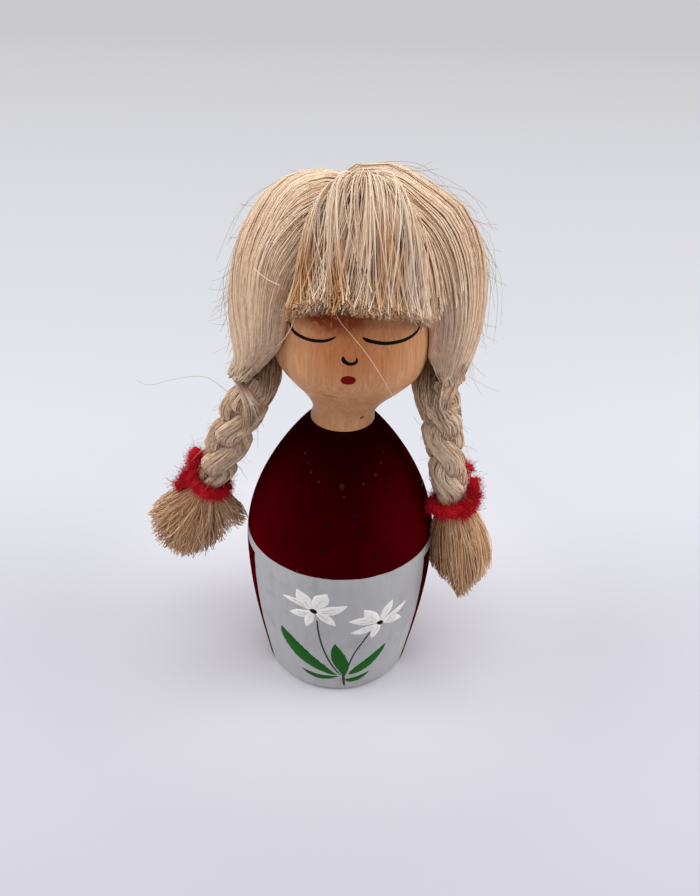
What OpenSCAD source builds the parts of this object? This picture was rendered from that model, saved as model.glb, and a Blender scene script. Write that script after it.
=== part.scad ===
// Turned wooden peg doll with flax hair: a fringe, two combed hanks and two tied plaits.
// Origin at the centre of the base, +Z up, the face looks along -Y, left is -X.
// The part that takes the most skill is the pair of three-strand plaits.

/* [Body] */
// Height of the turned body, floor to neck joint
body_h = 73.9; // [60:0.1:90]
// Diameter at the widest place of the body
body_d = 48; // [42:0.5:56]
// Height of the widest place
belly_h = 38.5; // [30:0.5:46]
// Diameter of the foot, above its rounded edge
foot_d = 39.6; // [32:0.2:41]
// Radius of the rounded edge under the foot
foot_round = 1.6; // [0.6:0.1:3]
// Fullness of the shoulder, lower is fuller
shoulder_share = 0.85; // [0.6:0.05:1.1]

/* [Head] */
// Diameter of the neck where it meets the body
neck_d = 15.2; // [12:0.2:18]
// Diameter at the widest place of the head
head_d = 35; // [33:0.2:36]
// Height of the widest place of the head above the neck joint
head_rise = 20.6; // [19:0.1:22]
// Height of the crown above the widest place
crown_rise = 19.5; // [18:0.5:22]
// How far the glued head leans to the right, in degrees
head_lean = 4; // [0:0.5:6]
// Diameter of the spigot turned on the neck
spigot_d = 8; // [5:0.5:10]
// Length of the spigot
spigot_l = 12; // [6:0.5:20]
// Room for glue round the spigot
glue_gap = 0.1; // [0.05:0.05:0.3]
// Depth of the socket left empty below the spigot
socket_spare = 0.8; // [0.3:0.1:2]

/* [Hair] */
// Room between the wood and the hair glued to it
hair_gap = 0.3; // [0.2:0.05:0.5]
// Width of the whole head of hair
hair_w = 56.6; // [53:0.2:60]
// Front to back depth of the head of hair
hair_depth = 52; // [49:0.5:56]
// Height from the widest place of the hair to its top
hair_top = 32; // [28:0.2:34]
// Widest place of the hair above the widest place of the head
hair_rise = 5.6; // [4:0.2:7]
// How far the hair stands to the right of the head
hair_shift = 1.5; // [0:0.1:2]
// How far the hair stands back from the head
hair_back = 3; // [1:0.5:5]
// How far the hair keeps its width down the sides, as the drop to where it would close
hair_drop = 40; // [32:1:48]
// Gap between the two hanks along the parting
parting_gap = 0.6; // [0.4:0.1:1.2]
// Thickness of the fringe at its cut edge
fringe_t = 4.2; // [3:0.1:5]
// Width of the fringe at its cut edge
fringe_w = 32.6; // [27:0.2:33]
// How far the fringe stands to the right of the head
fringe_shift = 1.1; // [0:0.1:1.5]

/* [Plaits] */
// Diameter of the bundle of hair where a plait starts
root_d = 9.6; // [8:0.2:10.4]
// Distance of the left plait from the middle of the head
left_root_out = 22.4; // [21.5:0.1:25]
// Distance of the right plait from the middle of the head
right_root_out = 20.2; // [19.9:0.1:23]
// Plait start below the widest place of the head
root_drop = 8.2; // [7.4:0.2:10]
// Plait start in front of the middle of the head
root_front = 3; // [0:0.5:5]
// Swing of the left plait towards the back, in degrees
left_swing = 3; // [0:0.5:5]
// Swing of the right plait towards the front, in degrees
right_swing = 6; // [4:0.5:9]
// Length of the left plait from its root to the middle of its tie
left_plait_l = 29; // [26:0.5:31]
// Length of the right plait from its root to the middle of its tie
right_plait_l = 28.5; // [25:0.5:31]
// Sideways throw of a strand about the middle of the plait
strand_throw = 2.45; // [2.1:0.05:2.6]
// Front to back throw of a strand about the middle of the plait
strand_weave = 2; // [1.7:0.05:2.2]
// Radius of a strand where nothing presses on it
strand_r = 3; // [2.6:0.05:3.2]
// Gap left between strands that are pressed together
strand_gap = 0.2; // [0.16:0.02:0.3]
// Length in which a strand crosses over and comes back
strand_pitch = 30; // [26:1:36]
// Diameter that the tie draws the strands down to
waist_d = 5.7; // [5:0.1:6.4]
// Room between pieces that touch in the real doll
seat_gap = 0.3; // [0.2:0.05:0.5]
// Room between the dress and the tassel or tie that rests on it
rest_gap = 0.34; // [0.3:0.02:1]

/* [Yarn ties] */
// Thickness of the wool yarn
yarn_d = 3; // [2.4:0.1:3.4]
// Height that the left bow stands above the middle of the tie
left_bow_h = 6.4; // [5.6:0.2:9]
// Height that the right yarn end stands above the middle of the tie
right_bow_h = 6.5; // [5:0.5:8]

/* [Tassels] */
// Length of the left tassel below the tie
left_tassel_l = 23.5; // [18:0.5:25]
// Full width of the left tassel
left_tassel_w = 21.4; // [17:0.2:22]
// Length of the right tassel below the tie
right_tassel_l = 28; // [24:0.5:30]
// Full width of the right tassel
right_tassel_w = 13.4; // [11:0.2:13.8]

/* [Hidden] */

LEFT = -1;
RIGHT = 1;
// Keeps a division off zero
tiny = 0.001;

turned_fn = 96;
bore_fn = 48;
profile_steps = 14;
round_steps = 6;
overrun = 2 * socket_spare;

// Half outline of the lower head: share of head_rise, share of the way from neck to head radius
head_shares = [[0, 0], [0.12, -0.03], [0.25, 0.085], [0.4, 0.325], [0.55, 0.62],
               [0.75, 0.92], [1, 1]];

// The middle of the head, and the direction that its axis leans in
head_axis = [sin(head_lean), 0, cos(head_lean)];
head_mid = [0, 0, body_h] + head_rise * head_axis;

// The head of hair is an egg about this point
hair_mid = head_mid + [hair_shift, hair_back, hair_rise];
hair_semi = [hair_w / 2, hair_depth / 2, hair_top];
hair_semi_low = [hair_w / 2, hair_depth / 2, hair_drop];

// The hair falls about an axis that runs from the forehead down to the nape
fall_angle = 28;
fall_back = [0, cos(fall_angle), -sin(fall_angle)];
fall_up = [0, sin(fall_angle), cos(fall_angle)];

// Front and back edge of a hank, from the parting down to the plait, as angles:
// turned from the parting, and swung from the middle of the parting
left_front_angles = [[0, -22], [12, -29], [22, -35], [37, -43], [55, -45], [74, -44],
                     [93, -40], [104, -32], [108, -21], [107, -12]];
right_front_angles = [[0, -22], [12, -25], [22, -28], [37, -33], [55, -33], [74, -29],
                      [93, -23], [104, -18], [108, -15], [107, -12]];
hank_back_angles = [[0, 68], [18, 67], [36, 63], [54, 56], [70, 47], [83, 37],
                    [94, 27], [101, 20], [105, 16], [107, 14]];
// Fullness of a hank from the parting down, as shares of the egg's own depth of hair
left_full_shares = [0.9, 1.02, 1.0, 1.0, 1.04, 1.12, 1.08];
right_full_shares = [0.9, 1.02, 1.0, 1.0, 1.0, 0.98, 0.94];
hank_rings = 20;
hank_sides = 28;
hank_draw_share = 0.72;
hank_edge_power = 5;

// The fringe falls from above the crown to its cut edge, in degrees above the level of the face
fringe_top_angle = 95;
fringe_cut_angle = 33;
// Width of the fringe down its fall, and how far its thickness has come down to the cut edge's
fringe_w_shares = [0.12, 0.46, 0.66, 0.84, 1];
fringe_fall_shares = [0.34, 0.2, 0.3, 0.64, 1];
fringe_rings = 14;
fringe_sides = 24;

root_r = root_d / 2;
waist_r = waist_d / 2;
// The tassel's neck under the yarn is a little slimmer than the waist, and its end is cut blunt
tassel_neck_share = 0.98;
tassel_end_share = 0.5;
yarn_r = yarn_d / 2;
// The yarn is cut to a blunt tip
yarn_tip_share = 0.55;
ring_r = waist_r + strand_gap + yarn_r;
strand_rings = 38;
strand_sides = 16;
// The plait starts a little below the very top of its root, so that the strands have a flat end
root_top_share = 0.92;
// Spread of the strands about the middle of the plait, down its length
spread_shares = [0.62, 0.95, 1, 1, 0.92, 0.42];
// Outline that holds the strands in, from the root sphere's middle down to the tie
hold_shares = [1, 1.06, 1.1, 1.06, 0.94, 0];
plait_turn = 52;

// Tassel outlines: share of the length, then shares of the half width on the body's side,
// on the far side and front to back
left_tassel_shares = [[0.12, 0.97, 0.42, 0.38], [0.27, 1.2, 0.68, 0.5], [0.47, 1.12, 0.94, 0.66],
                      [0.66, 0.87, 1.02, 0.74], [0.83, 0.66, 0.78, 0.66], [0.95, 0.42, 0.42, 0.42]];
right_tassel_shares = [[0.12, 0.7, 0.7, 0.62], [0.27, 0.88, 0.94, 0.8], [0.45, 0.94, 1.02, 0.92],
                       [0.65, 0.88, 1.02, 0.9], [0.84, 0.56, 0.92, 0.7], [0.97, 0.24, 0.6, 0.36]];
tassel_sides = 24;

// Yarn routes about the tie: turn from the front in degrees, then shares of the ring radius
// and of the bow height above the middle of the tie
left_yarn_angle_shares = [
    [246, 1.3, 0.62], [222, 1.17, 0.25], [190, 1.05, 0], [150, 1.02, -0.02], [105, 1, -0.03],
    [55, 1, -0.02], [0, 1, 0], [-38, 1.03, 0.1], [-68, 1.18, 0.42], [-84, 1.36, 0.86],
    [-96, 1.6, 1], [-98, 1.74, 0.62], [-94, 1.78, 0.05], [-88, 1.76, -0.72]];
right_yarn_angle_shares = [
    [234, 1.5, 1.15], [214, 1.42, 0.75], [186, 1.22, 0.32], [150, 1.04, 0.02], [100, 1, 0],
    [50, 1, 0], [0, 1, 0], [-48, 1.03, 0.12], [-82, 1.24, 0.48], [-91, 1.46, 0.8],
    [-95, 1.5, 1.02]];
yarn_steps = 5;
yarn_sides = 8;

function unit(v) = v / norm(v);
function mix(a, b, t) = a + (b - a) * t;
function ease(t) = let (c = min(max(t, 0), 1)) c * c * (3 - 2 * c);

// Smooth curve through points, several steps to each, and the same at one place from 0 to 1
function between(a, b, c, d, t) =
    0.5 * (2 * b + (c - a) * t + (2 * a - 5 * b + 4 * c - d) * t * t
           + (3 * b - a - 3 * c + d) * t * t * t);
function curve(pts, steps) = [
    for (i = [0 : len(pts) - 2])
        for (j = [0 : steps - 1])
            between(pts[max(i - 1, 0)], pts[i], pts[i + 1], pts[min(i + 2, len(pts) - 1)], j / steps),
    pts[len(pts) - 1]];
function curve_at(pts, t) = let (
        n = len(pts) - 1,
        along = min(max(t, 0), 1) * n,
        i = min(floor(along), n - 1))
    between(pts[max(i - 1, 0)], pts[i], pts[i + 1], pts[min(i + 2, n)], along - i);

// Closed solid over rings that have the same number of points. An end is closed by a fan about
// its middle, or where it is a crescent, by a strip from side to side.
module skin(rings, flip = false, crescent = false) {
    n = len(rings);
    m = len(rings[0]);
    top = (n - 1) * m;
    sides = [
        for (k = [0 : n - 2])
            for (i = [0 : m - 1])
                let (a = k * m + i, b = k * m + (i + 1) % m)
                    each [[a, b, b + m], [a, b + m, a + m]]];
    ones = [for (i = [1 : m]) 1];
    middles = crescent ? [] : [ones * rings[0] / m, ones * rings[n - 1] / m];
    strip = concat(
        [for (i = [0 : m / 2 - 2]) [i, i + 1, m - i - 1]],
        [for (i = [1 : m / 2 - 1]) [i, m - i - 1, m - i]]);
    first = crescent
        ? [for (f = strip) [f[2], f[1], f[0]]]
        : [for (i = [0 : m - 1]) [n * m, (i + 1) % m, i]];
    last = crescent
        ? [for (f = strip) [f[0] + top, f[1] + top, f[2] + top]]
        : [for (i = [0 : m - 1]) [n * m + 1, top + i, top + (i + 1) % m]];
    faces = concat(sides, first, last);
    turned = flip ? [for (f = faces) [f[2], f[1], f[0]]] : faces;
    polyhedron(points = concat([for (r = rings) each r], middles), faces = turned, convexity = 6);
}

// Distance from the middle of the head to the wood, and to the outside of the hair
function wood_r(d) = let (
        up = d * head_axis,
        rise = up > 0 ? crown_rise : head_d / 2)
    1 / sqrt((1 - up * up) / pow(head_d / 2, 2) + up * up / pow(rise, 2));
function egg_reach(d, semi) = let (
        off = head_mid - hair_mid,
        du = [d[0] / semi[0], d[1] / semi[1], d[2] / semi[2]],
        ou = [off[0] / semi[0], off[1] / semi[1], off[2] / semi[2]],
        a = du * du,
        b = du * ou,
        c = ou * ou - 1)
    (sqrt(b * b - a * c) - b) / a;
function egg_r(d) = let (top = egg_reach(d, hair_semi))
    head_mid[2] + top * d[2] > hair_mid[2] ? top : egg_reach(d, hair_semi_low);

// Radius of the body at a height above its rounded foot
function body_r_at(z) = z > belly_h
    ? mix(neck_d, body_d, pow(max(cos(90 * (z - belly_h) / (body_h - belly_h)), 0), shoulder_share)) / 2
    : mix(foot_d, body_d, sin(90 * (z - foot_round) / (belly_h - foot_round))) / 2;

// Half outline of the body from its foot to the neck joint
body_outline = concat(
    [[0, 0]],
    [for (i = [0 : round_steps]) let (a = 90 * i / round_steps)
        [foot_d / 2 - foot_round * (1 - sin(a)), foot_round * (1 - cos(a))]],
    [for (i = [1 : profile_steps]) let (z = mix(foot_round, belly_h, i / profile_steps))
        [body_r_at(z), z]],
    [for (i = [1 : profile_steps]) let (z = mix(belly_h, body_h, sin(90 * i / profile_steps)))
        [body_r_at(z), z]],
    [[0, body_h]]);

// Half outline of the head along its own axis, from below the joint to the crown
head_outline = let (
        head_r = head_d / 2,
        neck_r = neck_d / 2,
        low = [for (s = head_shares) [neck_r + (head_r - neck_r) * s[1], head_rise * s[0]]])
    concat(
        [[0, -neck_r / 2], [neck_r, -neck_r / 2]],
        curve(low, 4),
        [for (i = [1 : profile_steps]) let (a = 90 * i / profile_steps)
            [head_r * cos(a), head_rise + crown_rise * sin(a)]]);

module on_neck() {
    translate([0, 0, body_h])
        rotate([0, head_lean, 0])
            children();
}

module spigot_hole(d, depth) {
    on_neck()
        translate([0, 0, -depth])
            cylinder(d = d, h = depth + overrun, $fn = bore_fn);
}

module dress_body() {
    color("#4a0a1c")
        difference() {
            rotate_extrude($fn = turned_fn)
                polygon(body_outline);
            spigot_hole(spigot_d + 2 * glue_gap, spigot_l + socket_spare);
        }
}

module head() {
    color("#cf9c6e") {
        difference() {
            on_neck()
                rotate_extrude($fn = turned_fn)
                    polygon(head_outline);
            translate([0, 0, body_h - neck_d])
                linear_extrude(neck_d)
                    square(2 * head_d, center = true);
        }
        intersection() {
            spigot_hole(spigot_d, spigot_l);
            translate([0, 0, body_h - 2 * spigot_l])
                linear_extrude(2 * spigot_l)
                    square(2 * head_d, center = true);
        }
    }
}

// Direction of the hair at a turn from the parting and a swing from its middle
function fall(side, turn, swing) =
    [side * sin(turn) * cos(swing), 0, 0] + sin(swing) * fall_back + cos(turn) * cos(swing) * fall_up;

function root_end(side) =
    [head_mid[0] + side * (side == LEFT ? left_root_out : right_root_out),
     -root_front, head_mid[2] - root_drop];
function root_mid(side) = root_end(side) - [0, 0, root_r + seat_gap];

// One ring of a hank: across the outside from the front edge to the back, and back inside
function hank_ring(side, t) = let (
        front = curve_at(side == LEFT ? left_front_angles : right_front_angles, t),
        back = curve_at(hank_back_angles, t),
        draw = ease((t - hank_draw_share) / (1 - hank_draw_share)),
        half = hank_sides / 2)
    [for (i = [0 : hank_sides - 1]) let (
        outside = i <= half,
        s = outside ? i / half : 2 - i / half,
        at = mix(front, back, s),
        // Turned off the parting plane far enough to leave the gap there
        turn = max(at[0], asin(parting_gap / head_d)),
        d = fall(side, turn, at[1]),
        inner = wood_r(d) + hair_gap,
        full = (egg_r(d) - inner) * curve_at(side == LEFT ? left_full_shares : right_full_shares, t),
        bulge = sqrt(1 - pow(abs(2 * s - 1), hank_edge_power)),
        shell = head_mid + (outside ? inner + full * bulge : inner) * d,
        beta = 180 * i / half,
        bundle = root_end(side) + root_r * [side * sin(beta), -cos(beta), 0])
        mix(shell, bundle, draw)];

module hank(side) {
    color("#cdb492")
        skin([for (k = [0 : hank_rings]) hank_ring(side, k / hank_rings)], side == RIGHT, true);
}

module left_hank() {
    hank(LEFT);
}

module right_hank() {
    hank(RIGHT);
}

// One ring of the fringe: across the outside from left to right, and back inside
function fringe_ring(t) = let (
        angle = mix(fringe_top_angle, fringe_cut_angle, t),
        half_w = fringe_w / 2 * curve_at(fringe_w_shares, t),
        lie = head_d / 2 + fringe_t,
        half = fringe_sides / 2)
    [for (i = [0 : fringe_sides - 1]) let (
        outside = i <= half,
        s = outside ? 2 * i / half - 1 : 3 - 2 * i / half,
        across = (fringe_shift + s * half_w) / lie,
        d = [across, -sqrt(1 - across * across) * cos(angle), sqrt(1 - across * across) * sin(angle)],
        inner = wood_r(d) + hair_gap,
        full = mix(egg_r(d) - inner, fringe_t, curve_at(fringe_fall_shares, t)),
        bulge = sqrt(1 - pow(abs(s), hank_edge_power)))
        head_mid + (outside ? inner + full * bulge : inner) * d];

module fringe() {
    color("#d8bf9b")
        skin([for (k = [0 : fringe_rings]) fringe_ring(k / fringe_rings)], true, true);
}

function plait_l(side) = side == LEFT ? left_plait_l : right_plait_l;

// Where a plait comes nearest to the dress: depth below its root's middle, and reach inwards
tie_touch = [for (side = [LEFT, RIGHT]) [plait_l(side), ring_r + yarn_r]];
tassel_touch = [
    [left_plait_l + mix(yarn_r, left_tassel_l, left_tassel_shares[1][0]),
     left_tassel_shares[1][1] * left_tassel_w / 2],
    [right_plait_l + mix(yarn_r, right_tassel_l, right_tassel_shares[2][0]),
     right_tassel_shares[2][1] * right_tassel_w / 2]];

// A plait leans out until its tie or its tassel rests on the dress, found in a few steps
function swing(side) = side == LEFT ? left_swing : -right_swing;
function lean_to_rest(side, touch, lean = 15, steps = 8) = steps == 0 ? lean : let (
        root = root_mid(side),
        level = root[2] - touch[0] * cos(lean) - touch[1] * sin(lean),
        forward = root[1] + touch[0] * sin(swing(side)),
        reach = body_r_at(level) + rest_gap + touch[1] * cos(lean),
        out = sqrt(reach * reach - forward * forward) - side * root[0])
    lean_to_rest(side, touch, asin(out / touch[0]), steps - 1);
function lean(side) = let (i = side == LEFT ? 0 : 1)
    max(lean_to_rest(side, tie_touch[i]), lean_to_rest(side, tassel_touch[i]));

module on_plait(side) {
    translate(root_mid(side))
        rotate([0, -side * lean(side), 0])
            rotate([swing(side), 0, 0])
                children();
}

// Radius that the whole plait is held in, at a depth below the middle of its root
function plait_hold(side, depth) =
    depth < 0
        ? sqrt(max(root_r * root_r - depth * depth, 0))
        : mix(waist_r, root_r, curve_at(hold_shares, depth / plait_l(side)));

// Middle of strand k of three at a depth: a figure of eight, which makes the plait
function strand_mid(side, k, depth) = let (
        a = 360 * (depth / strand_pitch + k / 3),
        spread = curve_at(spread_shares, (depth + root_r) / (plait_l(side) + root_r)),
        cap = min(1, plait_hold(side, depth) / root_r),
        x = strand_throw * spread * cap * sin(a),
        y = strand_weave * spread * cap * sin(2 * a))
    [x * cos(plait_turn) - side * y * sin(plait_turn), side * x * sin(plait_turn) + y * cos(plait_turn)];

// A strand's outline is round, and flat where it presses on the other two
function strand_ring(side, k, depth) = let (
        mid = strand_mid(side, k, depth),
        others = [for (j = [1 : 2]) strand_mid(side, (k + j) % 3, depth) - mid],
        hold = plait_hold(side, depth))
    [for (i = [0 : strand_sides - 1]) let (
        a = 360 * i / strand_sides,
        u = [cos(a), sin(a)],
        pressed = min([for (o = others) (norm(o) - strand_gap) / 2 / max(u * unit(o), tiny)]),
        inward = mid * u,
        held = sqrt(max(inward * inward + hold * hold - mid * mid, 0)) - inward,
        r = min(strand_r, pressed, held))
        [mid[0] + r * u[0], mid[1] + r * u[1], -depth]];

module strand(side, k) {
    top = -root_r * root_top_share;
    bottom = plait_l(side) - strand_gap;
    color("#c6ab88")
        on_plait(side)
            skin([for (i = [0 : strand_rings]) strand_ring(side, k, mix(top, bottom, i / strand_rings))]);
}

module left_plait_strand_1() {
    strand(LEFT, 0);
}

module left_plait_strand_2() {
    strand(LEFT, 1);
}

module left_plait_strand_3() {
    strand(LEFT, 2);
}

module right_plait_strand_1() {
    strand(RIGHT, 0);
}

module right_plait_strand_2() {
    strand(RIGHT, 1);
}

module right_plait_strand_3() {
    strand(RIGHT, 2);
}

// Round tube along a path, turned as little as possible from ring to ring
function carry(tangents, n, i) =
    i >= len(tangents)
        ? []
        : let (v = unit(n - (n * tangents[i]) * tangents[i])) concat([v], carry(tangents, v, i + 1));

module tube(path, r, sides) {
    last = len(path) - 1;
    tangents = [for (i = [0 : last]) unit(path[min(i + 1, last)] - path[max(i - 1, 0)])];
    normals = carry(tangents, [0, 0, 1], 0);
    skin([for (i = [0 : last]) let (b = cross(tangents[i], normals[i]))
        [for (j = [0 : sides - 1])
            let (end = i == 0 || i == last ? yarn_tip_share : 1)
                path[i] + r * end * (cos(360 * j / sides) * normals[i] + sin(360 * j / sides) * b)]],
        true);
}

module yarn_tie(side, route, bow_h) {
    color("#b8001f")
        on_plait(side)
            translate([0, 0, -plait_l(side)])
                tube(curve([for (p = route) [-side * ring_r * p[1] * sin(p[0]),
                                             -ring_r * p[1] * cos(p[0]),
                                             bow_h * p[2]]], yarn_steps),
                     yarn_r, yarn_sides);
}

module left_yarn_tie() {
    yarn_tie(LEFT, left_yarn_angle_shares, left_bow_h);
}

module right_yarn_tie() {
    yarn_tie(RIGHT, right_yarn_angle_shares, right_bow_h);
}

module tassel(side, length, width, shares) {
    neck = [1, 1, 1] * waist_r * tassel_neck_share;
    rows = concat(
        [[strand_gap, neck]],
        [[yarn_r, neck]],
        [for (s = shares) [yarn_r + s[0] * (length - yarn_r), [s[1], s[2], s[3]] * width / 2]],
        [[length, [for (j = [1 : 3]) shares[len(shares) - 1][j] * tassel_end_share] * width / 2]]);
    color("#c49a63")
        on_plait(side)
            translate([0, 0, -plait_l(side)])
                skin([for (row = rows)
                    [for (i = [0 : tassel_sides - 1]) let (a = 360 * i / tassel_sides, r = row[1])
                        [-side * (cos(a) > 0 ? r[0] : r[1]) * cos(a), -r[2] * sin(a), -row[0]]]],
                    side == RIGHT);
}

module left_tassel() {
    tassel(LEFT, left_tassel_l, left_tassel_w, left_tassel_shares);
}

module right_tassel() {
    tassel(RIGHT, right_tassel_l, right_tassel_w, right_tassel_shares);
}

dress_body();
head();
fringe();
left_hank();
right_hank();
left_plait_strand_1();
left_plait_strand_2();
left_plait_strand_3();
right_plait_strand_1();
right_plait_strand_2();
right_plait_strand_3();
left_yarn_tie();
right_yarn_tie();
left_tassel();
right_tassel();
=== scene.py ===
import math

import bmesh
import bpy
import numpy as np
from mathutils import Matrix, Vector


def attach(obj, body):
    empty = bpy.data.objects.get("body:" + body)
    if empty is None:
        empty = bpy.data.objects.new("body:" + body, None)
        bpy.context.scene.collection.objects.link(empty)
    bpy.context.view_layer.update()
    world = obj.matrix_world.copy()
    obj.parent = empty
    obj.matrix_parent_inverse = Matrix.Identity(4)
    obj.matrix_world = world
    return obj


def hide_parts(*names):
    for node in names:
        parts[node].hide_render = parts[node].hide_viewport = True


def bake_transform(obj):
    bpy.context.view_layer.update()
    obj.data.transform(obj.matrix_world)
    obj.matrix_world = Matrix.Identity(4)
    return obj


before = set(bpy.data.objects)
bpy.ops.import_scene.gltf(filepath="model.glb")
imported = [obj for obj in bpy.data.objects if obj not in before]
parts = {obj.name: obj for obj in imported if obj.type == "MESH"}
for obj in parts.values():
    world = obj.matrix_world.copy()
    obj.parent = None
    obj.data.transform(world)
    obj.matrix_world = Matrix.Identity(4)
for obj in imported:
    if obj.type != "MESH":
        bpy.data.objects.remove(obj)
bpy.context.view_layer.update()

# Camera. It stands in front of the doll and above it, and looks down on the head, as the
# photograph was taken, with a lens that takes in the whole doll and some floor around it.
PITCH, YAW, ROLL = (math.radians(a) for a in (32.97, 0.71, 1.80))
ahead = Vector((math.sin(YAW) * math.cos(PITCH), math.cos(YAW) * math.cos(PITCH), -math.sin(PITCH)))
level = Vector((math.cos(YAW), -math.sin(YAW), 0))
above = level.cross(ahead)
right = math.cos(ROLL) * level + math.sin(ROLL) * above
up = -math.sin(ROLL) * level + math.cos(ROLL) * above
bpy.ops.object.select_all(action="DESELECT")
bpy.ops.object.camera_add()
camera = bpy.context.object
camera.name = "camera"
turned = Matrix((right, up, -ahead)).transposed().to_4x4()
camera.matrix_world = Matrix.Translation((0, -0.15285, 0.16377)) @ turned
camera.data.sensor_width = 36
# 750 pixels of focal length, on a picture 896 pixels high
camera.data.lens = 36 * 750 / 896
camera.data.clip_start = 0.01
bpy.context.scene.camera = camera


# Floor and backdrop. A large sheet of white studio paper lies under the doll and runs far back
# behind it. Its colour carries painted light, brightest round the doll and darker towards its far and near
# edges.
def linear(colour):
    """An sRGB hex colour as linear red, green and blue."""
    shares = [int(colour[i:i + 2], 16) / 255 for i in (1, 3, 5)]
    return [c / 12.92 if c <= 0.04045 else ((c + 0.055) / 1.055) ** 2.4 for c in shares]


def set_inputs(tree, node, **sockets):
    """Gives sockets a number, a hex colour or a link. _ is a space, or comes before a socket's number."""
    for name, value in sockets.items():
        socket = node.inputs[int(name[1:]) if name[1:].isdigit() else name.replace("_", " ")]
        if isinstance(value, bpy.types.NodeSocket):
            tree.links.new(value, socket)
        else:
            socket.default_value = (*linear(value), 1) if isinstance(value, str) else value


def add_node(tree, kind, settings=None, **sockets):
    node = tree.nodes.new("ShaderNode" + kind)
    for name, value in (settings or {}).items():
        setattr(node, name, value)
    set_inputs(tree, node, **sockets)
    return node


def new_material(name):
    """A material, with its node tree, its one Principled shader and the place on the object."""
    material = bpy.data.materials.new(name)
    material.use_nodes = True
    tree = material.node_tree
    return material, tree, tree.nodes["Principled BSDF"], add_node(tree, "TexCoord").outputs["Object"]


def calc(tree, operation, *values):
    """A number worked out from others."""
    inputs = {f"_{number}": value for number, value in enumerate(values)}
    return add_node(tree, "Math", {"operation": operation}, **inputs).outputs["Value"]


def ranged(tree, value, low, high, to_low=0, to_high=1, smooth=False):
    """A value between low and high, moved to between two others."""
    kind = {"interpolation_type": "SMOOTHSTEP" if smooth else "LINEAR"}
    return add_node(tree, "MapRange", kind, Value=value, From_Min=low, From_Max=high,
                    To_Min=to_low, To_Max=to_high).outputs["Result"]


def colour_ramp(tree, fac, stops):
    """A ramp from a number to colours, as pairs of place and hex colour."""
    ramp = add_node(tree, "ValToRGB", Fac=fac)
    band = ramp.color_ramp.elements
    while len(band) < len(stops):
        band.new(0.5)
    for element, (place, colour) in zip(band, stops):
        element.position = place
        element.color = (*linear(colour), 1)
    return ramp.outputs["Color"]


def colours_mixed(tree, share, a, b, blend="MIX"):
    """Colour a, with share of colour b over it."""
    return add_node(tree, "Mix", {"data_type": "RGBA", "blend_type": blend}, _0=share, _6=a, _7=b).outputs[2]


bpy.ops.object.select_all(action="DESELECT")
bpy.ops.mesh.primitive_plane_add(size=8, location=(0, 3.4, 0))
paper = bpy.context.object
paper.name = "studio_paper"
bpy.ops.object.transform_apply(location=True)
paper_material, tree, shader, place = new_material("matt_white_studio_paper")
depth = add_node(tree, "SeparateXYZ", Vector=place).outputs["Y"]
# The paper's colour is painted darker and lighter with distance, as painted light and shade
painted_shade = colour_ramp(tree, calc(tree, "POWER", ranged(tree, depth, -0.1, 2.0), 0.4), (
    (0.1, "#c2c0c8"), (0.28, "#cdcbd3"), (0.4, "#d6d8dd"), (0.52, "#dee0e5"), (0.75, "#d3d3d8"),
    (1, "#cacace")))
# Round the doll the paper is painted lighter, as painted light that softens the doll's shadow
away = add_node(tree, "VectorMath", {"operation": "DISTANCE"}, _0=place, _1=(0, 0.022, 0)).outputs["Value"]
painted_light_round_doll = ranged(tree, away, 0.035, 0.09, 0.6, 0, smooth=True)
set_inputs(tree, shader, Base_Color=colours_mixed(tree, painted_light_round_doll, painted_shade, "#e8e6eb"), Roughness=0.85,
           Specular_IOR_Level=0.1)
# Far from the doll, the camera sees the paper's colour with its painted shade as a glow, with no shadow in it
glow = add_node(tree, "Emission", Color=painted_shade)
ray = add_node(tree, "LightPath").outputs
seen = calc(tree, "MAXIMUM", ray["Is Camera Ray"], ray["Is Glossy Ray"])
behind = calc(tree, "MULTIPLY", seen, ranged(tree, depth, 0.04, 0.34, smooth=True))
surface = add_node(tree, "MixShader", Fac=behind, _1=shader.outputs["BSDF"], _2=glow.outputs["Emission"])
set_inputs(tree, tree.nodes["Material Output"], Surface=surface.outputs["Shader"])
paper.data.materials.append(paper_material)


# Lamps. One soft lamp stands at each side and one hangs above, in a white room, so that the
# front of the doll is a little darker than its sides.
def soft_lamp(name, place, size, watts):
    bpy.ops.object.select_all(action="DESELECT")
    bpy.ops.object.light_add(type="AREA", location=place)
    lamp = bpy.context.object
    lamp.name = name
    lamp.data.shape = "DISK"
    lamp.data.size = size
    lamp.data.energy = watts
    lamp.rotation_euler = (Vector((0, 0, 0.06)) - Vector(place)).to_track_quat("-Z", "Y").to_euler()


soft_lamp("lamp_left", (-0.62, -0.02, 0.40), 0.5, 1.9)
soft_lamp("lamp_right", (0.62, -0.02, 0.40), 0.5, 2.1)
soft_lamp("lamp_above", (0.0, 0.02, 0.80), 0.8, 2.7)
world = bpy.data.worlds.new("white_room")
bpy.context.scene.world = world
world.use_nodes = True
set_inputs(world.node_tree, world.node_tree.nodes["Background"], Color="#f4f5fa", Strength=0.58)
bpy.context.scene.view_settings.view_transform = "Standard"

# Dress. The body is one piece of turned wood, stained and painted dark red with a dull
# finish. A silver grey apron with a waistband is brushed over it once the red is dry.
FOOT_R, FOOT_ROUND, BELLY_R, BELLY_H, NECK_R, BODY_H = 19.8, 1.6, 24, 38.5, 7.6, 73.9
SOCKET_R, SOCKET_END = 4.1, 61.1
HEAD_LEAN = math.radians(4)
APRON_SIDE, LINE_SIDE = math.radians(61), math.radians(63.2)
WAIST_TOP, WAIST_LOW = 0.0434, 0.0408
MM = 0.001


def times(tree, a, b):
    return calc(tree, "MULTIPLY", a, b)


def step(tree, value, edge, softness, rising=True):
    """0 on one side of an edge and 1 on the other."""
    ends = (0, 1) if rising else (1, 0)
    return ranged(tree, value, edge - softness, edge + softness, *ends, smooth=True)


def mapped(tree, place, **sockets):
    return add_node(tree, "Mapping", Vector=place, **sockets).outputs["Vector"]


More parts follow.
